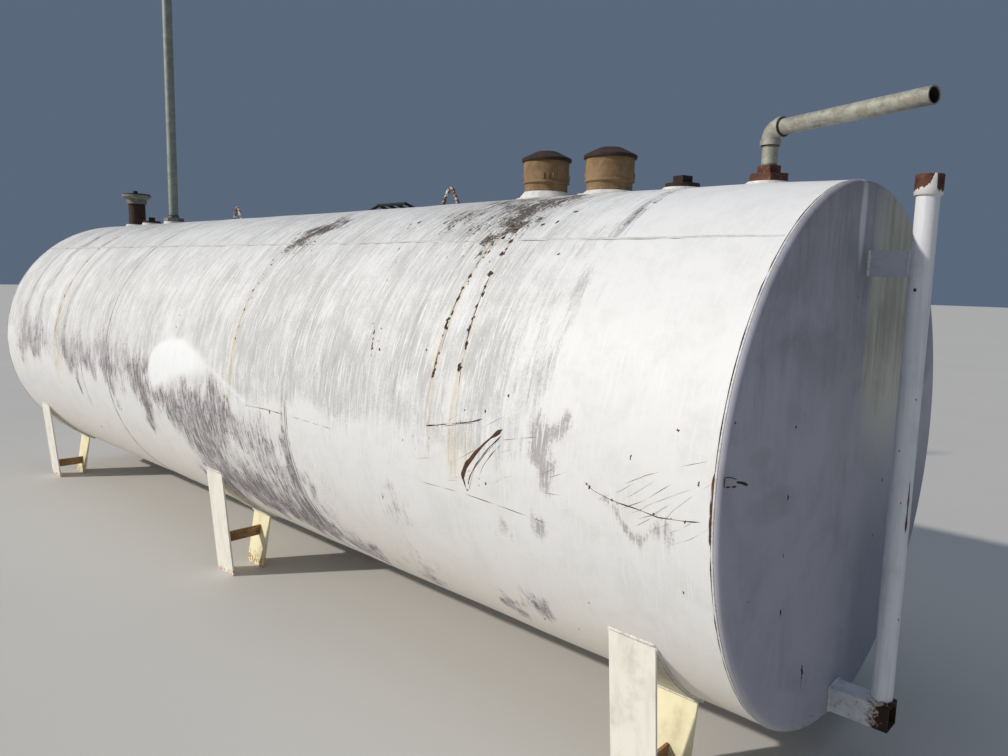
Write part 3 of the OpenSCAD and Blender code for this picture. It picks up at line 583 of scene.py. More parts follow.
def oval(put, where, y, z, half_y, half_z):
    """1 at a place on the near end, y and z from the axis, falling to 0 at the edge of an oval."""
    centre, half = (RIM_X, y, AXIS_Z + z), (1, half_y, half_z)
    moved = put("Mapping", 0, {
        "Vector": where, "Location": [-c / h for c, h in zip(centre, half)], "Scale": [1 / h for h in half]})
    far_off = put("VectorMath", "Value", {0: moved}, operation="LENGTH")
    return put("MapRange", 0, {"Value": far_off, "From Min": 1.0, "From Max": 0.2}, **SMOOTH)


def oil_enamel_on_flat_end(name, film, dull):
    """White film gone dull, upright runs that thin out downwards, algae, a panel of painted shade beside the
    standpipe, smudges, a rusty lower rim.
    """
    made, put, weigh, lay, finish, where = material(name)
    across_run, across_fine = (
        put("Mapping", 0, {"Vector": where, "Scale": every(*size)}) for size in ((400, 34, 520), (400, 8, 190)))
    runs, fine, cloud, spots = (
        put("TexNoise", "Fac", {"Vector": vector} | dict(zip(NOISE, values))) for vector, *values in (
            (across_run, 1, 6, 0.62, 0.25), (across_fine, 1, 4, 0.62),
            (where, every(240), 6, 0.62, 0.5), (where, every(13), 5, 0.7)))
    across, height = (put("SeparateXYZ", axis, {"Vector": where}) for axis in "YZ")
    high, right, behind_pipe, below = (
        put("MapRange", 0, {"Value": value, "From Min": start, "From Max": stop}, **SMOOTH)
        for value, start, stop in (
            (height, AXIS_Z - 0.15, AXIS_Z + TANK_R), (weigh(0.0, (across, 1.0), (fine, 0.05)), 0.02, 0.075),
            (across, -0.04, 0.22), (height, AXIS_Z + 0.22, AXIS_Z - 0.42)))
    low_rim = put("MapRange", 0, {"Value": height, "From Min": AXIS_Z - 0.66, "From Max": AXIS_Z - 0.80})
    algae, pipe_shade = (put("Math", 0, {0: one, 1: other}, operation="MULTIPLY")
                   for one, other in ((right, oval(put, where, 0.26, 0.42, 0.50, 0.68)), (behind_pipe, below)))
    run = oval(put, where, -0.07, 0.70, 0.036, 0.20)

    colour, dirty = lay(
        film, (dull, cloud, 0.40, 0.68),
        ("#8C8B90", weigh(0.0, (runs, 0.28), (fine, 0.22), (cloud, 0.50), (high, 0.24)), 0.50, 0.86, 0.75))
    colour, _ = lay(
        colour, ("#77787D", weigh(0.0, (fine, 1.0), (high, 0.12)), 0.66, 0.80, 0.3),
        ("#C9C7B4", weigh(0.0, (algae, 0.75), (cloud, 0.30)), 0.25, 0.85, 0.9),
        ("#7F8072", weigh(-0.35, (algae, 0.30), (high, 0.10), (runs, 0.5), (cloud, 0.35)), 0.30, 0.52, 0.6),
        # Painted shade: a darker blue-grey panel right of the middle and low down, beside the near end's standpipe.
        ("#7A8190", pipe_shade, 0.0, 1.0, 0.75),
        *(("#85858C", weigh(-0.2, (oval(put, where, *place), 0.6), (cloud, 0.6)), 0.15, 0.65, much)
          for *place, much in SMUDGES),
        ("#DADBE3", weigh(-0.1, (run, 0.8), (fine, 0.3)), 0.1, 0.8, 0.75),
        ("#8C6F4C", weigh(0.0, (spots, 1.0), (low_rim, 0.2)), 0.66, 0.78, 0.65))
    skin = put("TexNoise", "Fac", {"Vector": where} | dict(zip(NOISE, (every(5), 3))))
    peel = put("Bump", 0, {"Height": skin, "Strength": 0.12, "Distance": 0.6 * MM})
    finish(colour, peel, dirty, 0.48, 0.8, IOR=ENAMEL_IOR)
    return made


# The near end gets darker, bluer film and dull colours than the far end: painted shade.
near_end_paint_with_painted_shade = oil_enamel_on_flat_end("oil_enamel_with_painted_shade_on_near_end", "#B0AFBA", "#A4A3AF")
far_end_paint = oil_enamel_on_flat_end("oil_enamel_on_far_end", "#DEDEDC", "#CFCFCE")
dress(near_face, near_end_paint_with_painted_shade, "shaded_grey_white_paint", "near_end")
dress(far_face, far_end_paint, SHELL_SLOT, "far_end")

# %% [markdown]
# ## Weld beads
# Everything on this tank is arc-welded. A bead is a low rounded ridge, with ripples where each
# drop of metal froze. It is a half-round profile carried along the joint, and its size swells a
# little with the ripples and at random. Girth and long seams are ground nearly flush, so their
# beads are wide and low; fillets at feet and fittings are fuller. All beads share one function.

# %% Bead maker
RANDOM = np.random.default_rng(64)
RIPPLE, SWELL, SWELL_EVERY = 0.12, 0.16, 50 * MM


def bead(path, up, width, height, closed=False, ripple=0.010):
    """Carries the bead's section along a path. Size = 1 + RIPPLE sin(2 pi s / ripple) + slow random SWELL, s the
    length along the path, and an open bead dies out at its ends."""
    path = np.asarray(path, float)
    s = np.concatenate([[0], np.cumsum(np.linalg.norm(np.diff(path, axis=0), axis=1))])
    knots = max(4, int(s[-1] / SWELL_EVERY))
    slow = np.interp(s, np.linspace(0, s[-1], knots), RANDOM.uniform(-SWELL, SWELL, knots))
    swell = 1 + RIPPLE * np.sin(2 * np.pi * s / ripple) + slow
    if not closed:
        swell = swell * np.clip(np.minimum(s, s[-1] - s) / (0.7 * width), 0.05, 1) ** 0.5
    return carry("bead", path, up, round_profile(width, height), closed, swell)


def joined(name, parts):
    """One object from several, which keep their places."""
    work = bmesh.new()
    for part in parts:
        work.from_mesh(part.data)
    mesh = bpy.data.meshes.new(name)
    work.to_mesh(mesh)
    work.free()
    mesh.shade_smooth()
    for part in parts:
        bpy.data.objects.remove(part)
    return placed(name, mesh)


def outward_from_axis(points):
    """Unit vectors from the tank's axis through each point."""
    away = np.asarray(points, float) - np.array([0, 0, AXIS_Z])
    away[:, 0] = 0
    return away / np.linalg.norm(away, axis=1, keepdims=True)


def shell_bead(path, width, height, closed=False, ripple=0.010):
    """Bead along a path on the shell, standing out from the axis."""
    return bead(path, outward_from_axis(path), width, height, closed, ripple)


def hoop(x_mm, count=720):
    """Path round the shell at one distance from the near rim."""
    return on_shell(x_mm, np.linspace(0, 360, count, endpoint=False))


# %% Girth, head and long seams
HEAD_X = (-KNUCKLE / MM, -(TANK_LEN - KNUCKLE) / MM)  # where the ends' rolled edges are welded to the shell
HEAD_BEAD, HEAD_NOTCH, GIRTH_NOTCH = 2.0, 6.5, 6.0  # millimetres beside the joint
rings = [(seam / MM, 0.011, tall, 0.012) for seam, tall in zip(SEAMS, (0.0007, 0.0013))]
rings += [(x, 0.0055, 0.0016, 0.014) for x in (HEAD_X[0] - HEAD_BEAD, HEAD_X[1] + HEAD_BEAD)]
seams = [shell_bead(hoop(x), width, height, True, ripple) for x, width, height, ripple in rings]
for start, stop in ((-30, -890), (-1240, -2090), (-2240, -TANK_LEN / MM + 30)):  # soot hides it in between
    seams.append(shell_bead(on_shell(np.arange(start, stop, -3.6), LONG_SEAM), 0.009, 0.0005, False, 0.016))
shell_welds = joined("shell_seam_welds", seams)
print("seam weld faces:", len(shell_welds.data.polygons))

# %% [markdown]
# ## Joint lines
# Dirt and a little rust sit in the notch beside each head weld and along the seams, and draw the
# thin dark lines that the eye reads as joints. Each is a ribbon two or three millimetres wide,
# a lens in section, that breaks off and swells at random.

# %% Ribbons on the shell
def lens(width, lift):
    """Flat lens section: half a width out, a little under the surface; its middle stands by the lift."""
    return np.array([[-0.5, -0.25], [-0.28, 0.75], [0, 1], [0.28, 0.75], [0.5, -0.25], [0, -0.8]]) * [width, lift]


def ribbon(path, up, width, lift, broken=0.0, name="ribbon"):
    """Carries the lens along a path, its width random; broken is the share of its length where it nearly ends."""
    count = len(path)
    knots = max(5, count // 6)
    places = np.linspace(0, count - 1, knots)
    swell = np.interp(np.arange(count), places, RANDOM.uniform(0.35, 1.25, knots))
    gaps = np.interp(np.arange(count), places, (RANDOM.uniform(0, 1, knots) > broken).astype(float))
    ends = np.clip(np.minimum(np.arange(count), np.arange(count)[::-1]) / 4, 0.03, 1)
    return carry(name, path, up, lens(width, lift), False, swell * np.clip(gaps, 0.04, 1) * ends)


def shell_line(knots, width, lift, broken=0.0, spacing=6.0):
    """Ribbon through (x mm, angle deg) knots on the shell, its points this many millimetres apart."""
    x, angle = np.array(knots, float).T
    lengths = np.hypot(np.diff(x), np.radians(np.diff(angle)) * TANK_R / MM)
    at = np.concatenate([[0], np.cumsum(lengths)])
    fine = np.linspace(0, at[-1], max(8, int(at[-1] / spacing)))
    path = on_shell(np.interp(fine, at, x), np.interp(fine, at, angle))
    return ribbon(path, outward_from_axis(path), width, lift, broken)


NOTCHES = (  # (x mm and angle deg, one of them a range, width, lift, share broken)
    (HEAD_X[0] - HEAD_NOTCH, np.linspace(-120, 300, 500), 0.0042, 0.0009, 0.10),
    (HEAD_X[1] + HEAD_NOTCH, np.linspace(-120, 300, 500), 0.0042, 0.0009, 0.10),
    (np.linspace(-260, -5440, 700), LONG_SEAM - 0.42, 0.0022, 0.0006, 0.45),
    (SEAMS[0] / MM + GIRTH_NOTCH, np.linspace(-58, 4, 110), 0.0034, 0.0006, 0.25),
    (SEAMS[0] / MM + GIRTH_NOTCH, np.linspace(52, 84, 60), 0.0020, 0.0005, 0.5),
    (SEAMS[1] / MM + GIRTH_NOTCH, np.linspace(-80, 95, 250), 0.0056, 0.0008, 0.08))
joint_lines = joined("joint_lines", [
    shell_line(np.stack(np.broadcast_arrays(x, angle), 1), *rest) for x, angle, *rest in NOTCHES])
print("joint lines:", len(NOTCHES))

# %% [markdown]
# ## Rust scabs
# Where a weld on the inside has let water through the film, rust blisters stand in rows like
# stitches. A blister is a low dome with a ragged rim, a few millimetres to two centimetres wide.
# All blisters of a surface are one mesh: each is a small polar grid, its rim radius varied at
# random, laid on the surface's own coordinates, and closed underneath.

# %% Blister maker
SPOKES, DRAWN_OUT = 11, 1.5


def blisters(name, spots, place):
    """Closed lens blisters. spots are (a, b, size mm); place(a, b, side, down, lift) lays offsets in mm on a surface.
    Radius = size / 2 x reach x random, DRAWN_OUT downwards; the lift falls from the middle to the rim."""
    a, b, size = (np.array(v)[:, None, None] for v in np.array(spots, float).T)
    count = len(spots)
    reach = np.array([0.0, 0.45, 0.8, 1.0, 0.55])[None, :, None]
    lift = np.array([1.0, 0.85, 0.45, -0.25, -0.5])[None, :, None] * np.clip(size / 9, 0.5, 1.5)
    turn = full_turn(SPOKES)[None, None, :]
    ragged = RANDOM.uniform(0.35, 1.45, (count, 1, SPOKES))
    rim = size / 2 * ragged * (1 + 0.35 * RANDOM.uniform(-1, 1, (count, 1, 1)) * np.cos(2 * turn))
    points = place(a, b, reach * rim * np.cos(turn), reach * rim * np.sin(turn) * DRAWN_OUT, lift * 0.9)
    rings = reach.size
    start = np.arange(count)[:, None] * rings * SPOKES
    faces = (grid_faces(rings, SPOKES, False, True)[None] + start[..., None]).reshape(-1, 4).tolist()
    under = (start + (rings - 1) * SPOKES + np.arange(SPOKES)).tolist()
    return solid(name, points, faces + under, merged=True)


def on_shell_offset(x_mm, angle, side, down, lift):
    """Offsets in millimetres on the shell, sideways along the tank and down its round."""
    return on_shell(x_mm + side, angle - np.degrees(down * MM / TANK_R), lift)


# %% Rows of blisters
STITCHES = [  # (x mm and angle at the top, x and angle at the bottom, spacing mm, size mm)
    ((-2274, 47), (-2272, 14), 42, 11), ((-2262, 45), (-2262, 20), 90, 7), ((-4476, 58), (-4474, 16), 38, 11),
    ((-1010, 49), (-1006, 12), 27, 13), ((-1002, 50), (-1000, 16), 60, 8), ((-936, 51), (-884, 11), 40, 17),
    ((-912, 34), (-880, 13), 44, 11), ((-1564, 59), (-1434, 43), 75, 9), ((-1434, 43), (-1352, 20), 58, 8),
    ((-1352, 23), (-1334, 16), 18, 9), ((-1320, 24), (-1290, 17), 24, 9), ((-3655, 56), (-3640, 20), 140, 7),
    ((-2850, 27), (-2846, 14), 34, 6), ((-950, 4.1), (-770, 7.2), 26, 6), ((-386, -0.4), (-274, -2.8), 24, 6),
    ((-274, -2.8), (-60, -2.9), 30, 5), ((-812, -4.2), (-826, -9.2), 12, 5), ((-760, -3.4), (-786, -8), 18, 5),
]
LONE = [  # (x mm, angle deg, size mm)
    (-700, 46, 9), (-678, 13, 8), (-1063, 20, 7), (-1948, -2.6, 12), (-1180, 45, 7), (-1120, -1, 5), (-760, 9, 7),
    (-845, 8.5, 5), (-792, 63, 13), (-818, 58, 11), (-868, 57, 14), (-905, 60, 12), (-1540, 61, 16), (-1575, 60, 10),
    (-960, 55, 15), (-985, 52, 17), (-1002, 57, 14), (-1030, 60, 12), (-745, -6, 8), (-2728, 1, 9), (-3560, -18, 8),
    (-4140, -14, 10), (-4130, -33, 11), (-130, 12, 6), (-100, -16, 6), (-250, 6, 7), (-60, 4, 8), (-420, -27, 5),
    (-1250, -47, 9), (-520, -39, 6), (-3300, 40, 6), (-2500, 36, 5),
]
SPRAYS = (  # (x mm, angle deg, spread mm, spread deg, count)
    (-2160, 57, 60, 6, 26), (-1075, 60, 80, 6, 30), (-980, 53, 26, 4, 12), (-1320, 61, 50, 5, 9),
    (-4505, 58, 20, 3, 5))
spots = list(LONE)
for (x0, a0), (x1, a1), spacing, size in STITCHES:
    run = math.hypot(x1 - x0, math.radians(a1 - a0) * TANK_R / MM)
    count = max(2, int(run / spacing))
    for t in (np.arange(count) + RANDOM.uniform(-0.32, 0.32, count)) / count:
        if RANDOM.uniform() < 0.82:
            x = x0 + (x1 - x0) * t + RANDOM.normal(0, 3.5)
            spots.append((x, a0 + (a1 - a0) * t, size * RANDOM.uniform(0.45, 1.3)))
for x, angle, spread, tall, count in SPRAYS:
    for _ in range(count):
        spots.append((x + RANDOM.normal(0, spread), angle + RANDOM.normal(0, tall), RANDOM.uniform(3, 9)))
for _ in range(46):  # the back has a few, anywhere, and three rows
    spots.append((RANDOM.uniform(-5300, -60), 180 - RANDOM.uniform(-50, 75), RANDOM.uniform(3, 8)))
for x in (-1400, -3300, -4350):
    for angle in np.arange(128, 165, 2.4):
        spots.append((x + RANDOM.normal(0, 4), angle + RANDOM.normal(0, 0.4), RANDOM.uniform(4, 11)))
rust_blisters = blisters("rust_blisters", spots, on_shell_offset)
print("blisters on the shell:", len(spots))

# %% [markdown]
# ## Scratches and gouges
# Something heavy has been dragged against the shell: gouges that cut to the steel and rusted,
# with fine scratches beside them that only broke the film. They are ribbons again, along knots
# read as distance and angle; a gouge is several side by side that bend together.

# %% Scratches
GOUGES = [  # (width mm, share broken, knots as x mm and angle)
    (13, 0.05, [(-683, 6.2), (-729, 3.8), (-774, 1.1), (-822, -2.4), (-843, -5.0), (-846, -6.5)]),
    (10, 0.1, [(-752, 2.2), (-792, -0.6), (-826, -3.6), (-841, -6.0), (-831, -8.5)]),
    (9, 0.05, [(-742, 3.0), (-783, 0.3), (-822, -2.9), (-842, -5.6)]),
    (5, 0.2, [(-684, 4.9), (-734, 1.7), (-784, -2.3), (-812, -5.4), (-824, -7.6)]),
    (2.4, 0.35, [(-690, 4.2), (-742, 0.7), (-790, -3.2), (-822, -8.8)]),
    (3.6, 0.3, [(-682, 3.3), (-719, 0.8), (-754, -2.2), (-783, -6.1)]),
    (2, 0.4, [(-700, 1.4), (-738, -2.0), (-766, -6.4)]),
    (5, 0.08, [(-1014, 3.4), (-960, 4.1), (-897, 5.1), (-843, 5.8), (-803, 6.5), (-764, 7.5)]),
    (2, 0.5, [(-990, 3.0), (-900, 4.7), (-800, 6.2)]),
    (3.8, 0.08, [(-386, -0.2), (-354, -1.5), (-312, -2.2), (-274, -2.6), (-223, -2.8), (-162, -3.3), (-85, -2.7),
                (-48, -2.2)]),
    (1.6, 0.3, [(-203, -2.1), (-161, -0.4), (-103, 1.9), (-50, 3.9)]), (1.6, 0.3, [(-228, -6.1), (-160, -2.7)]),
    (1.8, 0.4, [(-147, -4.0), (-124, -1.6), (-79, 1.4), (-28, 4.5)]),
    (1.2, 0.5, [(-288, 0.1), (-203, 3.4), (-114, 6.1), (-35, 8.1)]), (1.2, 0.3, [(-510, -1.4), (-437, 1.0)]),
    (1.2, 0.3, [(-535, -1.1), (-462, 1.8)]),
]
RUNS = [  # (width, share broken, knots), rust that water has drawn down
    (0.0050, 0.62, [(-1012, 50), (-1009, 30), (-1006, 12), (-1004, -2)]), (0.0022, 0.5, [(-1000, 34), (-997, 20)]),
    (0.0042, 0.68, [(-938, 51), (-905, 28), (-884, 13), (-881, 6)]), (0.0024, 0.4, [(-1100, 54), (-1095, 38)]),
    (0.0016, 0.7, [(-2276, 40), (-2274, 16)]), (0.0056, 0.22, [(-4482, 62), (-4476, 36), (-4472, 8)]),
    (0.0034, 0.45, [(-5108, 56), (-5100, 22)]), (0.0030, 0.5, [(-3660, 58), (-3655, 34)]),
    (0.0044, 0.2, [(-1836, 2), (-1838, -6), (-1840, -16)]),
]
LONG_SCRATCH = [(-1070, -9.9), (-960, -9.7), (-850, -9.6), (-700, -10.0), (-520, -10.6)]
TIDE_SCRATCH = [(-2144, -2.6), (-1980, -2.2), (-1760, -2.4), (-1524, -2.9)]
scratch = [
    shell_line(knots, width * MM, 0.0011 if width > 3 else 0.0006, gaps, 4) for width, gaps, knots in GOUGES]
scratch.append(shell_line(LONG_SCRATCH, 0.0024, 0.0006, 0.35, 5))
scratch.append(shell_line(TIDE_SCRATCH, 0.0034, 0.0007, 0.4, 5))
for i in range(9):  # a fan of fine ones near the rim
    x, angle = -330 + 26 * i + RANDOM.uniform(-12, 12), -2.6 - 0.5 * i + RANDOM.uniform(-1.0, 1.0)
    reach = RANDOM.uniform(0.4, 1.0)
    knots = [(x, angle), (x + 70 * reach, angle + 2.6 * reach), (x + 150 * reach, angle + 7.0 * reach)]
    scratch.append(shell_line(knots, RANDOM.uniform(0.0008, 0.0018), 0.0005, 0.35))
for _ in range(14):  # hair scratches beside the gouges
    x, angle = RANDOM.uniform(-1120, -520), RANDOM.uniform(-8, 6)
    knots = [(x, angle), (x + RANDOM.uniform(40, 160), angle + RANDOM.uniform(1, 5))]
    scratch.append(shell_line(knots, RANDOM.uniform(0.0007, 0.0015), 0.0004, 0.45))
scratch += [shell_line(knots, width, 0.0006, gaps, 5) for width, gaps, knots in RUNS]
rusty_scratches = joined("rusty_scratches", scratch)
rim_rust = joined("rim_rust", [
    shell_line([(-24 - 3 * i, 6.2 - i), (-25 - 2 * i, -5.9 + 0.7 * i)], width, 0.0012, 0.4, 3)
    for i, width in enumerate((0.006, 0.0035))])
print("scratches:", len(scratch))


# %% Marks on the near end
END_SPOTS = [  # (y mm, z mm from the axis, size mm)
    (-769, 203, 7), (-431, 149, 7), (-449, -35, 9), (-453, -189, 7), (-443, -349, 10), (-267, -571, 12),
    (-262, -586, 15), (-263, -600, 8), (-60, 480, 5), (300, -120, 9), (250, -300, 6), (420, 120, 7), (-640, -260, 4)]
END_LINES = [  # (width, lift, share broken, knots as y mm and z mm from the axis)
    (0.0055, 0.0014, 0.08, [(-802, 82), (-772, 77), (-742, 66)]),
    (0.0055, 0.0014, 0.08, [(-802, 60), (-770, 54), (-742, 50)]),
    (0.005, 0.0014, 0.05, [(-803, 84), (-804, 58)]), (0.015, 0.0016, 0.12, [(-748, 62), (-716, 54), (-682, 42)]),
    (0.0016, 0.0004, 0.3, [(-262, -600), (-264, -640)]), (0.0012, 0.0004, 0.2, [(-443, -352), (-444, -372)])]


def on_end(y_mm, z_mm, side, down, lift):
    """Offsets on the near end's face, y to the back and z up from the axis."""
    y, z, lift = np.broadcast_arrays((y_mm + side) * MM, (z_mm - down) * MM, lift * MM)
    return np.stack([RIM_X + lift, y, AXIS_Z + z], -1)


def end_line(knots, width, lift, broken=0.0, count=24):
    """Ribbon through (y mm, z mm) knots on the near end."""
    y, z = np.array(knots, float).T
    fine = np.linspace(0, len(y) - 1, count)
    path = on_end(*(np.interp(fine, np.arange(len(y)), v) for v in (y, z)), 0, 0, -0.2)
    return ribbon(path, np.tile([1.0, 0, 0], (count, 1)), width, lift, broken)


end_blisters = blisters("end_blisters", END_SPOTS, on_end)
end_marks = joined("end_marks", [end_line(knots, *rest) for *rest, knots in END_LINES])
print("blisters on the near end:", len(END_SPOTS))

# %% [markdown]
# ## Rust
# Rust on paint flakes is orange-brown at the thin rim and nearly black where it is thick and wet.
# On cast fittings it covers everything: a dry, rough brown with darker pits and a bloom of orange,
# and here and there a flake of old white paint that has held on. Both come from one recipe, with
# the colours and the amount of paint as its settings.

# %% Rust and dirt materials
RUST_SLOT, DARK_SLOT = "rusted_iron", "dark_rusted_iron"


def rusted_iron(name, deep, mid, bloom, grain_mm, white=0.0, pits_mm=1.0):
    """Deep brown to mid by clouds 8 grains wide, bloom on single grains, pits in the bump, and where white isn't 0
    flakes of old paint that stand up where a fourth pattern is high."""
    made, put, _, lay, finish, where = material(name)
    large, small, crumb = (put("TexNoise", "Fac", {"Vector": where} | dict(zip(NOISE, values))) for values in (
        (every(grain_mm * 8), 5, 0.6, 0.4), (every(grain_mm), 5, 0.7), (every(grain_mm * 0.45), 3)))
    colour, _ = lay(deep, (mid, large, 0.38, 0.62), (bloom, small, 0.50, 0.72, 0.75), (deep, crumb, 0.52, 0.34, 0.55))
    relief = put("Bump", 0, {"Height": small, "Strength": 0.55, "Distance": pits_mm * MM})
    if white:
        flakes = put("TexNoise", "Fac", {"Vector": where} | dict(zip(NOISE, (every(grain_mm * 2.4), 6, 0.72, 0.6))))
        colour, kept = lay(colour, ("#D8D5CC", flakes, 0.70 - white, 0.74 - white))
        relief = put("Bump", 0, {"Height": kept, "Strength": 0.5, "Distance": 0.6 * MM, "Normal": relief})
    finish(colour, relief, small, 0.74, 0.92)
    return made


scab_rust = rusted_iron("rust_blister_through_paint", "#27170F", "#4A2C1B", "#85502C", 2, pits_mm=0.6)
gouge_rust = rusted_iron("rust_in_a_gouge", "#2E1A12", "#57351F", "#96653E", 5, pits_mm=0.4)
notch_dirt = rusted_iron("dirt_and_rust_in_a_notch", "#2F2825", "#4A3F39", "#6E5644", 4, pits_mm=0.4)
rim_scale = rusted_iron("rust_scale_on_rim", "#4A2717", "#74401F", "#A5683A", 3)
plug_rust = rusted_iron("heavily_rusted_iron_plug", "#241612", "#3A241B", "#593527", 6, white=0.02)
bushing_rust = rusted_iron("rusted_malleable_bushing", "#4A2D1F", "#714630", "#946046", 6, white=0.06)
dark_rust = rusted_iron("heavily_rusted_cast_iron", "#241917", "#3D2820", "#623A28", 7)
black_iron = rusted_iron("blackened_flat_bar", "#121113", "#1F1C1C", "#3A2F2B", 9)
plate_rust = rusted_iron("rusted_flat_bar_with_old_paint", "#83603F", "#A98459", "#CDAE80", 14, white=0.06)
lug_rust = rusted_iron("rusted_bent_bar_with_old_paint", "#553526", "#7C5238", "#A5805C", 8, white=0.20)
# Near-black, darker than rust: rust and painted shade inside the pipe mouths.
mouth_rust_and_shade = rusted_iron("rust_and_painted_shade_inside_a_pipe", "#0E0B0A", "#17110E", "#241811", 8)
for piece, paint, slot in (
        (rust_blisters, scab_rust, RUST_SLOT), (end_blisters, scab_rust, RUST_SLOT),
        (rusty_scratches, gouge_rust, RUST_SLOT), (rim_rust, rim_scale, RUST_SLOT),
        (end_marks, dark_rust, RUST_SLOT), (joint_lines, notch_dirt, DARK_SLOT)):
    dress(piece, paint, slot)
print("rusts:", len([m for m in bpy.data.materials if "rust" in m.name]))

# %% [markdown]
# ## Paint on legs and fittings
# The legs were brushed by hand in a cream white, with long upright bristle marks, thin places that
# show grey, and rust that climbs from the wet ground. The standpipe, its stay and foot box, the
# collars and the vents' cones wear the tank's white enamel, with rust where two pieces meet.
# One recipe serves: upright brush marks, clouds of dirt, rust that gathers low down, rust spots.

# %% Brushed enamel
def brushed_enamel(name, film, thin, rust_from, rust_to, spots=0.0, strokes_mm=(17, 17, 230), edge_mm=1.2,
                   dirt="#8F8A80"):
    """Brush strokes between film and thin, clouds of dirt, rust where a height is low and spots rise, soft edges."""
    made, put, weigh, lay, finish, where = material(name)
    brushed = put("Mapping", 0, {"Vector": where, "Scale": every(*strokes_mm)})
    strokes, cloud, speck = (
        put("TexNoise", "Fac", {"Vector": vector} | dict(zip(NOISE, values))) for vector, *values in (
            (brushed, 1, 5, 0.65, 0.2), (where, every(140), 5, 0.6), (where, every(14), 6, 0.72, 0.5)))
    height = put("SeparateXYZ", "Z", {"Vector": where})
    low = put("MapRange", 0, {"Value": height, "From Min": rust_from, "From Max": rust_to,
                              "To Min": 0.26, "To Max": 0.0}, **SMOOTH)
    rusty = weigh(spots, (speck, 1.0), (low, 1.0))
    colour, stained = lay(
        film, (thin, strokes, 0.42, 0.68), (dirt, cloud, 0.50, 0.75, 0.4), ("#B98A55", rusty, 0.66, 0.80, 0.75))
    colour, crust = lay(colour, ("#5C3420", rusty, 0.78, 0.86))
    relief = put("Bevel", 0, {"Radius": edge_mm * MM}, samples=4)
    for mask, strength, distance_mm in ((strokes, 0.18, 0.5), (crust, 0.4, 0.6)):
        relief = put("Bump", 0, {
            "Height": mask, "Strength": strength, "Distance": distance_mm * MM, "Normal": relief})
    finish(colour, relief, stained, 0.48, 0.85, IOR=ENAMEL_IOR)
    return made


NO_LOW_RUST = (-1.0, -0.5)  # heights under the ground, where nothing is
leg_paint = brushed_enamel("brushed_cream_enamel_on_legs", "#F3EFE4", "#E6E2D7", 0.0, 0.08, -0.03, (35, 35, 160))
# The inner legs get a brighter, yellower copy of the cream: painted warm sunlight.
warm_lit_inner_leg_paint = brushed_enamel(
    "cream_enamel_with_painted_sunlight_on_inner_legs", "#F7EFCB", "#EEE4BE", 0.02, 0.12, -0.02, (35, 35, 160))
fitting_paint = brushed_enamel(
    "white_enamel_on_welded_fittings", "#E9E8E3", "#D2D1CC", *NO_LOW_RUST, 0.03, (25, 25, 50), dirt="#857E75")
pipe_paint = brushed_enamel(
    "white_enamel_on_standpipe", "#E8E9EC", "#D8DAE0", 0.16, 0.26, -0.04, (14, 14, 250), dirt="#B0B1B8")
# The stay gets a darker, bluer copy of the white enamel: painted shade.
stay_paint_with_painted_shade = brushed_enamel(
    "white_enamel_with_painted_shade_on_stay", "#BFC2CC", "#B2B6C1", *NO_LOW_RUST, -0.08, (60, 60, 25), dirt="#9EA2AE")
pad_paint = brushed_enamel("cream_enamel_on_pads", "#DDD6C2", "#BDB6A4", *NO_LOW_RUST, 0.05, (50, 20, 20))

# %% Repaint the CAD nodes
for station in PLACES:
    for paint, part in ((leg_paint, "outer_legs"), (warm_lit_inner_leg_paint, "inner_legs"),
                        (pad_paint, "leg_pads"), (plate_rust, "braces")):
        repaint(paint, f"{station}_{part}")
for paint, *names in (
        (fitting_paint, "near_collars", "far_collars", "vent_cones"), (pipe_paint, "standpipe"),
        (stay_paint_with_painted_shade, "standpipe_stay"), (plug_rust, "near_plug", "far_plug", "fill_riser"),
        (bushing_rust, "lower_bushing", "upper_bushing"), (lug_rust, "near_lug", "far_lug"),
        (dark_rust, "stack_cap"), (black_iron, "bar_frame")):
    repaint(paint, *names)
print("legs:", 4 * len(PLACES), "nodes repainted")

# %% [markdown]
# ## Zinc, tan iron and the dark lid
# Pipe is galvanised: dipped in molten zinc, which froze in soft spangles and has gone dull and
# stained. It stays a metal, but a rough one. The emergency vents are cast iron under a tan
# coating, matt and sandy, darker where water runs. The fill lid is iron in a worn dark coating.

# %% Zinc and coatings
def dull_zinc(name, light, dark, stain, stained=0.5, metal=0.4):
    """Spangles 9 mm wide, clouds of oxide, a brown-grey stain, pale salts and dark specks."""
    made, put, weigh, lay, finish, where = material(name)
    spangle = put("SeparateColor", 0, {"Color": put("TexVoronoi", "Color", {"Vector": where, "Scale": every(9)})})
    cloud, drift, fine = (put("TexNoise", "Fac", {"Vector": where} | dict(zip(NOISE, values))) for values in (
        (every(55), 7, 0.7, 0.6), (every(34), 6, 0.7, 0.8), (every(8), 4, 0.7)))
    colour, _ = lay(
        light, (dark, cloud, 0.38, 0.62), (light, spangle, 0.2, 1.0, 0.25),
        (stain, drift, 1 - stained, 1.13 - stained, 0.75),
        ("#D9D6C8", weigh(0.0, (fine, 0.6), (cloud, 0.4)), 0.56, 0.64, 0.6), ("#4F4A42", fine, 0.60, 0.72, 0.5))
    rounded = put("Bevel", 0, {"Radius": 1.2 * MM}, samples=4)
    relief = put("Bump", 0, {"Height": fine, "Strength": 0.16, "Distance": 0.5 * MM, "Normal": rounded})
    finish(colour, relief, fine, 0.52, 0.78, Metallic=metal)
    return made


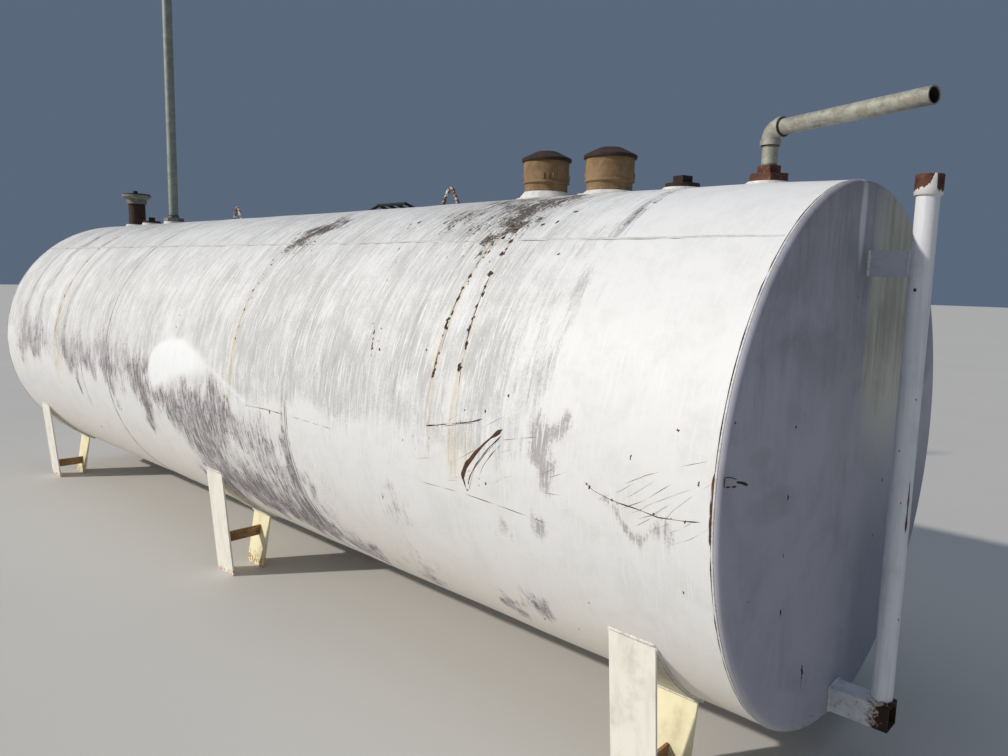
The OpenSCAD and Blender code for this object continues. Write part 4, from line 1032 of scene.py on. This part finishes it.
def sandy_coating(name, light, dark, grime, grain_mm=5.0):
    """Matt coating on sand-cast iron: clouds of dirt, and cast grain, drawn coarse enough to show."""
    made, put, _, lay, finish, where = material(name)
    sand, cloud = (put("TexNoise", "Fac", {"Vector": where} | dict(zip(NOISE, values))) for values in (
        (every(grain_mm), 4, 0.75), (every(48), 6, 0.66, 0.4)))
    colour, _ = lay(light, (dark, cloud, 0.36, 0.66), (grime, sand, 0.52, 0.68, 0.55), (light, sand, 0.46, 0.34, 0.5))
    rounded = put("Bevel", 0, {"Radius": 2 * MM}, samples=4)
    relief = put("Bump", 0, {"Height": sand, "Strength": 0.35, "Distance": 0.9 * MM, "Normal": rounded})
    finish(colour, relief, sand, 0.72, 0.9)
    return made


arm_zinc = dull_zinc("hot_dip_galvanised_pipe", "#ACAB9F", "#84837A", "#93835F", 0.44)
stack_zinc = dull_zinc("weathered_galvanised_stack", "#98A095", "#7E877D", "#858371", 0.36)
adapter_zinc = dull_zinc("dull_zinc_adapter", "#8B8A80", "#6E6C63", "#6A5643", 0.5)
tan_iron = sandy_coating("tan_coated_cast_iron", "#957A57", "#7B6143", "#5D472F")
lid_iron = sandy_coating("dark_coated_cast_iron", "#34383F", "#23262B", "#4D4038")
repaint(arm_zinc, "nipple", "elbow", "vent_arm")
repaint(stack_zinc, "stack_pipe")
repaint(adapter_zinc, "fill_adapter", "stack_bushing")
repaint(lid_iron, "fill_lid")

# %% [markdown]
# ## Turned pieces
# Castings have soft edges that a CAD solid leaves sharp. The vents' barrels and covers are round,
# so each is a profile turned about its own upright axis: radius and height pairs, with a few
# points round every edge. The profile runs from the axis out and back to the axis, so the piece
# is closed.

# %% Turned surfaces
def middle_of(name):
    """Middle of a CAD node in plan."""
    low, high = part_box(name)
    return (low[0] + high[0]) / 2, (low[1] + high[1]) / 2


def softened(corners, radius, steps=3):
    """Profile whose inner corners are cut by quadratic curves, from one side of the corner to the other."""
    corners = np.asarray(corners, float)
    out = [corners[0]]
    t = np.linspace(0, 1, steps + 1)[:, None]
    for before, here, after in zip(corners[:-2], corners[1:-1], corners[2:]):
        a, b = before - here, after - here
        la, lb = np.linalg.norm(a), np.linalg.norm(b)
        cut = min(radius, la * 0.45, lb * 0.45)
        p, q = here + a / la * cut, here + b / lb * cut
        out.extend((1 - t) ** 2 * p + 2 * t * (1 - t) * here + t ** 2 * q)
    return np.array(out + [corners[-1]])


def turned(name, centre, profile, count=96, uneven=0.0):
    """Turns (radius, height) pairs about an upright axis: (x + r cos t, y + r sin t, z), first and last radius 0.
    uneven is the share by which the radius swells and shrinks, as a casting's does."""
    radius, height = np.asarray(profile, float).T[:, None, :]
    turn = full_turn(count)[:, None]
    radius = radius * (1 + uneven * np.sin(3 * turn + height * 40))
    x, y = centre[0] + radius * np.cos(turn), centre[1] + radius * np.sin(turn)
    return solid(name, *closed_at_poles(np.stack(np.broadcast_arrays(x, y, height), -1)))


# %% Barrels and covers of the vents
NECK_H, RIDGE_H, BARREL_H = 31 * MM, 8 * MM, 82 * MM
SPIGOT_R, NECK_R, SHOULDER_R, WAIST_R = 66.8 * MM, 74.5 * MM, 85 * MM, 83.5 * MM
BARREL_R, BOSS_R, INNER_R, THROAT_R = 88.6 * MM, 88.5 * MM, 81 * MM, 67 * MM


def vent_pieces(index):
    """Barrel with neck and ridge, and a domed cover whose rim hangs over it, inside the CAD solids."""
    centre = middle_of(f"vent_{index}_barrel")
    low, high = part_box(f"vent_{index}_barrel")
    cover_low, cover_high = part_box(f"vent_{index}_cover")
    ridge_r, foot, seat = (high[0] - low[0]) / 2, low[2], high[2]
    base, ridge = seat - NECK_H - RIDGE_H - BARREL_H, seat - RIDGE_H - BARREL_H
    barrel = [
        (0, foot + 0.004), (SPIGOT_R, foot + 0.004), (SPIGOT_R, foot), (NECK_R, foot), (NECK_R, base),
        (SHOULDER_R, base), (SHOULDER_R, base + 0.006), (WAIST_R, base + 0.009), (WAIST_R, ridge - 0.002),
        (ridge_r, ridge + 0.001), (ridge_r, ridge + 0.006), (BARREL_R, ridge + 0.010), (0.0890, seat - 0.02),
        (0.0888, seat - 0.001), (INNER_R, seat - 0.001), (INNER_R, ridge + 0.004), (THROAT_R, ridge),
        (THROAT_R, foot + 0.006), (0, foot + 0.006)]
    rim, skirt, top = (cover_high[0] - cover_low[0]) / 2, cover_low[2], cover_high[2]
    cover = [
        (0, seat + 0.0005), (rim - 0.009, seat + 0.0005), (rim - 0.009, skirt), (rim, skirt), (rim, top - 0.0300),
        (rim - 0.004, top - 0.0275), (0.039, top - 0.0008), (0, top)]
    for part, profile, corner_r, steps, uneven, paint, slot in (
            ("barrel", barrel, 0.0022, 3, 0.001, tan_iron, "tan_coated_iron"),
            ("cover", cover, 0.0065, 4, 0.002, dark_rust, DARK_SLOT)):
        casting = turned(f"vent_{index}_{part}_casting", centre, softened(profile, corner_r, steps), uneven=uneven)
        dress(casting, paint, slot, f"vent_{index}_{part}")
    return centre, ridge


# %% Ribs on the barrels
def vent_boss(centre, azimuth, low_z, tall, wide, proud):
    """Small cast rib on a barrel: a rounded upright bar, half sunk in the wall."""
    a = math.radians(azimuth)
    away = np.array([math.cos(a), math.sin(a), 0])
    swell = np.array([0.35, 0.85, 1, 1, 1, 1, 1, 0.85, 0.35])
    z = np.linspace(low_z, low_z + tall, len(swell))
    path = np.array([[centre[0], centre[1], 0]]) + BOSS_R * away + np.stack([0 * z, 0 * z, z], 1)
    return carry("boss", path, np.tile(away, (len(z), 1)), round_profile(wide, proud, 12, 1.0), False, swell)


BOSSES = {  # for each vent, azimuths in degrees and widths in millimetres
    1: ((-56.5, 5), (-44.2, 5), (-32.5, 5), (46, 9), (226, 9)), 2: ((43, 9), (223, 9), (133, 9))}
vent_ribs = []
for index, bosses in BOSSES.items():
    centre, ridge = vent_pieces(index)
    vent_ribs += [vent_boss(centre, azimuth, ridge + 0.012, 0.026, wide * MM, 0.0042) for azimuth, wide in bosses]
dress(joined("vent_ribs", vent_ribs), tan_iron, "tan_coated_iron")
print("vent ribs:", sum(len(bosses) for bosses in BOSSES.values()))

# %% [markdown]
# ## Fillet welds
# Collars, cones, feet, lugs and brackets are held by fillets: fuller beads in the corner between
# two pieces. Round a fitting the path is a saddle, a circle in plan dropped on the shell:
# z = sqrt(R^2 - y^2). Along a leg it is a line or an arc on the shell.

# %% Fillets on the shell
def saddle(x_mm, radius):
    """Circle in plan about a place on the crown, dropped on the shell."""
    turn = full_turn(160)
    side, back = radius * np.cos(turn), radius * np.sin(turn)
    return on_shell(x_mm + side / MM, 90 + np.degrees(np.arcsin(back / TANK_R)))


def fitting_x(name):
    """Distance of a fitting from the near rim in millimetres."""
    return (middle_of(name)[0] - RIM_X) / MM


COLLAR_R, CONE_R, RISER_COLLAR_R = 0.064, 0.111, 0.075
ROUNDS = {"lower_bushing": COLLAR_R, "near_plug": COLLAR_R, "far_plug": COLLAR_R, "stack_bushing": COLLAR_R,
          "fill_riser": RISER_COLLAR_R, "vent_1_barrel": CONE_R, "vent_2_barrel": CONE_R}
LUG_REACH = {"near_lug": 38.6, "far_lug": 26.9}  # millimetres from a lug's middle to each foot
TOP, SIDE_TOP, SIDE_LOW, SEAT, LOW = -32.7, -33.4, -60.8, -57.6, -61.4  # degrees on the shell, at a leg and its pad
fillets = [shell_bead(saddle(fitting_x(name), r + 0.0015), 0.0095, 0.0045, True) for name, r in ROUNDS.items()]
for station in PLACES:
    x0, x1 = ((corner[0] - RIM_X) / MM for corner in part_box(f"{station}_outer_legs"))
    inside, outside = np.linspace(x0, x1, 60), np.linspace(x0 - 1, x1 + 1, 60)
    upright = np.linspace(SIDE_TOP, SIDE_LOW, 110)
    for base, sign in ((0, 1), (180, -1)):  # the front legs, then the back ones
        for x, angle, lift, width, height in (
                (outside, TOP, 0.0, 0.010, 0.0055), (x0 - 1, upright, 0.5, 0.011, 0.005),
                (x1 + 1, upright, 0.5, 0.011, 0.005), (inside, LOW, 0.0, 0.012, 0.006),
                (inside, SEAT, 10.8, 0.009, 0.005)):
            fillets.append(shell_bead(on_shell(x, base + sign * angle, lift), width, height))
for lug, reach in LUG_REACH.items():
    for side in (-1, 1):
        fillets.append(shell_bead(saddle(fitting_x(lug) + side * reach, 0.0088), 0.008, 0.0045, True, 0.006))
fillet_welds = joined("fillet_welds", fillets)
print("fillet faces:", len(fillet_welds.data.polygons))


# %% Fillets round the standpipe's brackets
def ring_about(centre, axis, radius, count=72):
    """Circle about any axis: centre + radius (cos t a + sin t b), a and b across the axis."""
    across = np.cross(axis, [0.0, 0, 1.0]) if abs(axis[2]) < 0.9 else np.array([1.0, 0, 0])
    across /= np.linalg.norm(across)
    turn = full_turn(count)[:, None]
    return np.asarray(centre) + radius * (np.cos(turn) * across + np.sin(turn) * np.cross(axis, across))


UP = (0.0, 0.0, 1.0)
pipe_at = middle_of("standpipe")
pipe_r, foot_r, clear = 30.15 * MM, 32.5 * MM, MM
box_low, box_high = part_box("foot_box")
stay_low, stay_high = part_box("standpipe_stay")
foot_ring = ring_about((*pipe_at, box_high[2] + clear), UP, foot_r, 96)
wave = np.linspace(0, 2 * np.pi, len(foot_ring))
foot_ring[:, 2] += 0.003 * np.sin(7 * wave) * np.sin(wave)
square = np.array([[RIM_X + clear, y, z] for y, z in (
    (box_low[1], box_low[2]), (box_high[1], box_low[2]), (box_high[1], box_high[2]), (box_low[1], box_high[2]))])
square = np.concatenate([np.linspace(square[i], square[(i + 1) % 4], 22, endpoint=False) for i in range(4)])
bracket = [bead(foot_ring, np.tile(UP, (len(foot_ring), 1)), 0.016, 0.008, True, 0.007),
           bead(square, np.tile([1.0, 0, 0], (len(square), 1)), 0.010, 0.006, True)]
stay_z = np.linspace(stay_low[2], stay_high[2], 40)
for y in (stay_low[1] - clear, stay_high[1] + clear):
    for x, facing in ((RIM_X + clear, 1.0), (pipe_at[0] - 0.0302, -1.0)):
        line = np.stack([0 * stay_z + x, 0 * stay_z + y, stay_z], 1)
        out = np.array([facing, math.copysign(1.0, y), 0]) / math.sqrt(2)
        bracket.append(bead(line, np.tile(out, (len(line), 1)), 0.009, 0.005))
bracket_welds = joined("bracket_welds", bracket)
print("bracket weld faces:", len(bracket_welds.data.polygons))

weld_paint = brushed_enamel(
    "enamel_over_weld_beads", "#E2E1DB", "#BDBBB3", *NO_LOW_RUST, 0.06, (11, 11, 11), 0.5, "#8A8073")
seam_paint = brushed_enamel(
    "enamel_over_ground_seams", "#DCDCD8", "#C2C1BD", *NO_LOW_RUST, -0.04, (33, 8, 8), 0.3, "#9A9794")
dress(shell_welds, seam_paint, SHELL_SLOT)
dress(fillet_welds, weld_paint, SHELL_SLOT)

# %% [markdown]
# ## Exposed threads and sealant
# Screwed pipe shows the last turns of its taper thread where it enters a fitting, and a dark ring
# of old sealant. A thread is a helix: radius fixed, height rising one pitch each turn, carrying a
# small pointed section. Pipe of this size has 11.5 threads to the inch, a pitch of 2.2 mm.

# %% Threads
PITCH = 0.0254 / 11.5
SMALL_PIPE_R, STACK_R = 24.1 * MM, 30.1 * MM
ARM_TURN = math.radians(21)  # how far the arm is swung to the front, in plan
SOCKET_REACH = 50 * MM
STEPS_A_TURN = 40


def thread(start, axis, radius, length):
    """Helix about an axis: start + axis * pitch * turns + radius * (cos, sin) across it."""
    turns = length / PITCH
    t = np.linspace(0, 2 * np.pi * turns, int(turns * STEPS_A_TURN))[:, None]
    across = np.cross(axis, [0.0, 0, 1.0]) if abs(axis[2]) < 0.9 else np.array([1.0, 0, 0])
    across /= np.linalg.norm(across)
    out = np.cos(t) * across + np.sin(t) * np.cross(axis, across)
    path = np.asarray(start) + out * radius + np.asarray(axis) * PITCH * t / (2 * np.pi)
    swell = np.clip(np.minimum(np.arange(len(t)), np.arange(len(t))[::-1]) / 20, 0.05, 1)
    section = np.array([[-0.5, -0.2], [-0.12, 0.42], [0.12, 0.42], [0.5, -0.2], [0, -0.35]]) * 2 * MM
    return carry("thread", path, out, section, False, swell)


def sealant(centre, axis, radius, size):
    """Ring of sealant in the corner of a socket."""
    path = ring_about(centre, axis, radius)
    return bead(path, (path - centre) / radius, size, size * 0.6, True, 0.004)


nipple_at, stack_at = middle_of("nipple"), middle_of("stack_pipe")
bush_top, neck_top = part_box("upper_bushing")[1][2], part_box("stack_bushing")[1][2]
elbow_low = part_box("elbow")[0][2]
arm_low, arm_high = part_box("vent_arm")
arm_dir = np.array([math.cos(ARM_TURN), -math.sin(ARM_TURN), 0])
arm_root = np.array([*nipple_at, (arm_low[2] + arm_high[2]) / 2])
socket_face = arm_root + arm_dir * SOCKET_REACH
threads = joined("exposed_threads", [
    thread((*nipple_at, bush_top), UP, SMALL_PIPE_R, 0.007),
    thread((*nipple_at, elbow_low - 0.008), UP, SMALL_PIPE_R, 0.008),
    thread(socket_face, arm_dir, SMALL_PIPE_R, 0.006), thread((*stack_at, neck_top), UP, STACK_R, 0.009)])
sealants = joined("socket_sealant", [
    sealant(socket_face, arm_dir, 0.0250, 0.006), sealant((*nipple_at, elbow_low), UP, 0.0250, 0.005),
    sealant((*nipple_at, bush_top), UP, 0.0250, 0.005), sealant((*stack_at, neck_top), UP, 0.0308, 0.007)])
dress(threads, adapter_zinc, "galvanized_steel")
dress(sealants, dark_rust, DARK_SLOT)
print("thread faces:", len(threads.data.polygons))

# %% [markdown]
# ## A half-painted coupling
# The coupling on the standpipe was only painted from one side and halfway up: white creeps over
# its lower end with a jagged edge, climbs to the top in one place, and the rest is bare and rusty.
# It is turned again as a ring with soft edges, so that it can carry an attribute: how far each
# point lies under the paint's edge, which was read round the ring as degrees and shares of height.

# %% Turn the coupling
PAINT_EDGE = np.array([
    (-185, 0.18), (-164, 0.2), (-136, 0.26), (-102, 0.32), (-80, 0.42), (-70, 0.60), (-60, 0.84), (-53, 1.1),
    (-45.5, 1.1), (-44, 0.30), (-20, 0.16), (40, 0.14), (110, 0.24), (175, 0.18)])
BORE_R, CHAMFER, PLAY = 28.5 * MM, 1.6 * MM, 0.2 * MM
coupling_low, coupling_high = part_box("standpipe_coupling")
pipe_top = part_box("standpipe")[1][2]
ring_low = coupling_low[2]
ring_r, ring_h = (coupling_high[0] - coupling_low[0]) / 2, coupling_high[2] - ring_low
floor_h = pipe_top - ring_low + 0.1 * MM


def ringed(name, centre, axis, section, count=144):
    """Closed ring: a section of (radius, distance along the axis) pairs carried round the axis."""
    path = ring_about(centre, axis, 1.0, count)
    offsets = np.asarray(section, float)
    return carry(name, path, path - centre, np.stack([-offsets[:, 1], offsets[:, 0] - 1.0], 1), closed=True)


coupling_ring = ringed("standpipe_coupling_ring", np.array([*pipe_at, ring_low]), UP, [
    (pipe_r + PLAY, 0), (ring_r - CHAMFER, 0), (ring_r, CHAMFER), (ring_r, ring_h * 0.35), (ring_r, ring_h * 0.7),
    (ring_r, ring_h - CHAMFER), (ring_r - CHAMFER, ring_h), (BORE_R + CHAMFER, ring_h), (BORE_R, ring_h - CHAMFER),
    (BORE_R, floor_h), (pipe_r + PLAY, floor_h)])
points = np.empty(3 * len(coupling_ring.data.vertices))
coupling_ring.data.vertices.foreach_get("co", points)
x, y, z = points.reshape(-1, 3).T
azimuth = np.degrees(np.arctan2(y - pipe_at[1], x - pipe_at[0]))
under_paint = np.interp(azimuth, *PAINT_EDGE.T) - (z - ring_low) / ring_h
layer = coupling_ring.data.attributes.new("under_paint", "FLOAT", "POINT")
layer.data.foreach_set("value", under_paint.astype(np.float32))
print("coupling:", round(ring_h / MM, 1), "mm high,", round(2 * ring_r / MM, 1), "mm across")


# %% Paint the coupling
def half_painted_iron():
    """Rust, and enamel where the attribute, made ragged by noise, is over zero."""
    made, put, weigh, lay, finish, where = material("half_painted_rusty_coupling")
    upright = put("Mapping", 0, {"Vector": where, "Scale": every(8, 8, 14)})
    small, large, ragged = (
        put("TexNoise", "Fac", {"Vector": vector} | dict(zip(NOISE, values))) for vector, *values in (
            (where, every(5), 5, 0.7), (where, every(38), 5, 0.6, 0.4), (upright, 1, 5, 0.65, 0.5)))
    white = put("Mix", 2, {0: small, 6: "#E6E5E3", 7: "#D6D5D2"}, **COLOURS)
    edge = put("Attribute", "Fac", {}, attribute_name="under_paint")
    colour, painted = lay(
        "#3A221A", ("#623A29", large, 0.38, 0.62), ("#84543A", small, 0.50, 0.72, 0.7),
        (white, weigh(-0.28, (edge, 1.0), (ragged, 0.56)), -0.012, 0.012))
    relief = put("Bump", 0, {"Height": small, "Strength": 0.35, "Distance": 0.9 * MM})
    relief = put("Bump", 0, {"Height": painted, "Strength": 0.5, "Distance": 0.7 * MM, "Normal": relief})
    finish(colour, relief, painted, 0.86, 0.5)
    return made


dress(coupling_ring, half_painted_iron(), RUST_SLOT, "standpipe_coupling")

# %% [markdown]
# ## Open mouths
# An old pipe is dark inside: its bore is rusty and in shade. The vent arm's open end is lined with a
# thin near-black tube, a little inside the wall, and a disc closes it so deep that no lit metal
# shows past it: the near-black of both is painted shade over the rust. The standpipe's socket is
# short and narrow, so a disc alone does.

# %% Line the mouths
ARM_LEN, ARM_BORE_R, LINING = 549 * MM, 20.45 * MM, 0.5 * MM
LINED, SETBACK, PIPE_STOP = 240 * MM, 3 * MM, 120 * MM


def lining(mouth, inwards, radius, depth):
    """Thin tube just inside a bore, from near its mouth inwards."""
    outer, inner = radius - 0.1 * MM, radius - LINING
    section = [(outer, 0), (outer, depth), (inner, depth), (inner, 0)]
    return ringed("lining", mouth + inwards * SETBACK, inwards, section, 64)


def stopper(mouth, inwards, radius, depth):
    """Disc across a bore at some depth, a closed turned lens 2 mm thick at its middle."""
    inwards = np.asarray(inwards)
    middle = np.asarray(mouth) + inwards * depth
    rim = ring_about(middle, inwards, radius)
    i = np.arange(len(rim))
    j, near, far = (i + 1) % len(rim), 0 * i + len(rim), 0 * i + len(rim) + 1
    faces = np.concatenate([np.stack([i, j, near, near], 1), np.stack([j, i, far, far], 1)])
    points = np.concatenate([rim, [middle + inwards * MM, middle - inwards * MM]])
    return solid("stopper", points, faces, smooth=False)


arm_mouth = arm_root + arm_dir * ARM_LEN
mouths = joined("dark_mouths", [
    lining(arm_mouth, -arm_dir, ARM_BORE_R, LINED), stopper(arm_mouth, -arm_dir, ARM_BORE_R - 0.2 * MM, LINED),
    stopper((*pipe_at, pipe_top), (0, 0, -1.0), 26.0 * MM, PIPE_STOP)])
dress(mouths, mouth_rust_and_shade, DARK_SLOT)
print("mouth faces:", len(mouths.data.polygons))

# %% [markdown]
# ## The foot box
# The box that carries the standpipe's foot wears the same enamel, but its open outer end stands in
# the wet: rust has eaten the film there, thick at the lip and thinning inwards, and the weld round
# the pipe's foot is bare and grey-brown. Rust here follows the distance from the open end.

# %% Enamel that rusts from an open end
def enamel_rusting_from_its_end(name, lip_x, reach):
    """Enamel, its rust mask rising over the last stretch before the lip, made ragged by noise."""
    made, put, weigh, lay, finish, where = material(name)
    speck, cloud = (put("TexNoise", "Fac", {"Vector": where} | dict(zip(NOISE, values))) for values in (
        (every(16), 6, 0.7, 0.5), (every(70), 5)))
    along = put("SeparateXYZ", "X", {"Vector": where})
    near_lip = put("MapRange", 0, {"Value": along, "From Min": lip_x - reach, "From Max": lip_x}, **SMOOTH)
    rusty = weigh(0.0, (speck, 0.8), (cloud, 0.25), (near_lip, 0.34))
    scale = put("Mix", 2, {0: speck, 6: "#40271B", 7: "#1D1310"}, **COLOURS)
    colour, crust = lay(
        "#DCDDE0", ("#BFC0C4", cloud, 0.4, 0.7), ("#8F8A84", rusty, 0.58, 0.66, 0.7),
        ("#A07C55", rusty, 0.65, 0.74, 0.8), (scale, rusty, 0.70, 0.77))
    rounded = put("Bevel", 0, {"Radius": 2.5 * MM}, samples=4)
    relief = put("Bump", 0, {"Height": speck, "Strength": 0.4, "Distance": 0.8 * MM, "Normal": rounded})
    finish(colour, relief, crust, 0.52, 0.88)
    return made


repaint(enamel_rusting_from_its_end("enamel_on_foot_box", box_high[0], 90 * MM), "foot_box")
bracket_paint = enamel_rusting_from_its_end("enamel_over_bracket_welds", box_high[0] + 30 * MM, 110 * MM)
dress(bracket_welds, bracket_paint, SHELL_SLOT)
print("foot box ends at", round(box_high[0] / MM, 1), "mm")

# %% [markdown]
# ## Marks on the standpipe
# A few blisters stand on the standpipe, one of them large and black, and one spot has bled a
# rusty run below the axis of the tank. They are laid round the pipe as degrees and heights.

# %% Blisters and a run
PIPE_SPOTS = [  # (azimuth deg, z mm from the axis, size mm)
    (-97, 505, 10), (-70, -100, 4), (-40, 200, 5), (-100, 50, 5), (-20, -450, 5)]
STREAK_AZIMUTH, STREAK_Z = -30.0, np.linspace(-30, -190, 40)


def on_pipe(azimuth, z_mm, side, down, lift):
    """Offsets on the standpipe, sideways round it and down."""
    turn = np.radians(azimuth) + side * MM / pipe_r
    turn, r, z = np.broadcast_arrays(turn, pipe_r + lift * MM, AXIS_Z + (z_mm - down) * MM)
    return np.stack([pipe_at[0] + r * np.cos(turn), pipe_at[1] + r * np.sin(turn), z], -1)


dress(blisters("pipe_blisters", PIPE_SPOTS, on_pipe), dark_rust, RUST_SLOT)
outwards = (math.cos(math.radians(STREAK_AZIMUTH)), math.sin(math.radians(STREAK_AZIMUTH)), 0.0)
streak = ribbon(on_pipe(STREAK_AZIMUTH, STREAK_Z, 0.0, 0.0, 0.0), np.tile(outwards, (len(STREAK_Z), 1)),
                0.007, 0.0006, 0.15, "pipe_rust_streak")
dress(streak, rim_scale, RUST_SLOT)
print("blisters on the standpipe:", len(PIPE_SPOTS))

# %% [markdown]
# ## Floor and light
# The tank stands on a plain pale floor. A low key light from the front left rakes along the
# shell, as the sun does in the photograph, and leaves the near end in shade; wide, weak lamps from
# the front and from overhead and a pale blue sky fill the shadows without putting hot spots on so
# long an object.

# %% Stage
FLOOR_R, UNDER_FEET = 60, 0.5 * MM


def pale_floor():
    """Matt pale floor, a disc wide enough to meet the horizon."""
    turn = full_turn(96)
    rim = np.stack([FLOOR_R * np.cos(turn), FLOOR_R * np.sin(turn), 0 * turn - UNDER_FEET], 1)
    mesh = bpy.data.meshes.new("floor")
    mesh.from_pydata(rim.tolist(), [], [list(range(len(rim)))])
    made, put, *_, where = material("matt_pale_concrete_floor")
    patches = put("TexNoise", "Fac", {"Vector": where} | dict(zip(NOISE, (every(1600), 3))))
    colour = put("Mix", 2, {0: patches, 6: "#C2C0BB", 7: "#C9C7C2"}, **COLOURS)
    fill(made.node_tree.nodes["Principled BSDF"], {"Base Color": colour, "Roughness": 0.9})
    mesh.materials.append(made)
    placed("floor", mesh)


pale_floor()
world = bpy.data.worlds.new("studio")
world.use_nodes = True
bpy.context.scene.world = world
fill(world.node_tree.nodes["Background"], {"Color": "#AFC8EC", "Strength": 0.24})


def lamp(name, towards, energy, width_deg, colour):
    """Sun lamp that shines from a direction, its width in degrees: the wider, the softer its shadows."""
    light = bpy.data.lights.new(name, "SUN")
    light.energy, light.angle, light.color = energy, math.radians(width_deg), linear(colour)[:3]
    x, y, z = np.asarray(towards) / np.linalg.norm(towards)
    placed(name, light).matrix_world = camera_matrix((0, 0, 0), math.atan2(-y, -x), math.asin(-z), 0)


lamp("key", (-0.485, -0.713, 0.5), 2.85, 1.6, "#FFF9F0")
lamp("front_fill", (-0.45, -0.88, 0.09), 0.30, 50, "#FFFAF4")
lamp("overhead", (-0.05, -0.1, 1.0), 0.5, 60, "#F4F8FF")
bpy.context.scene.view_settings.view_transform = "Standard"
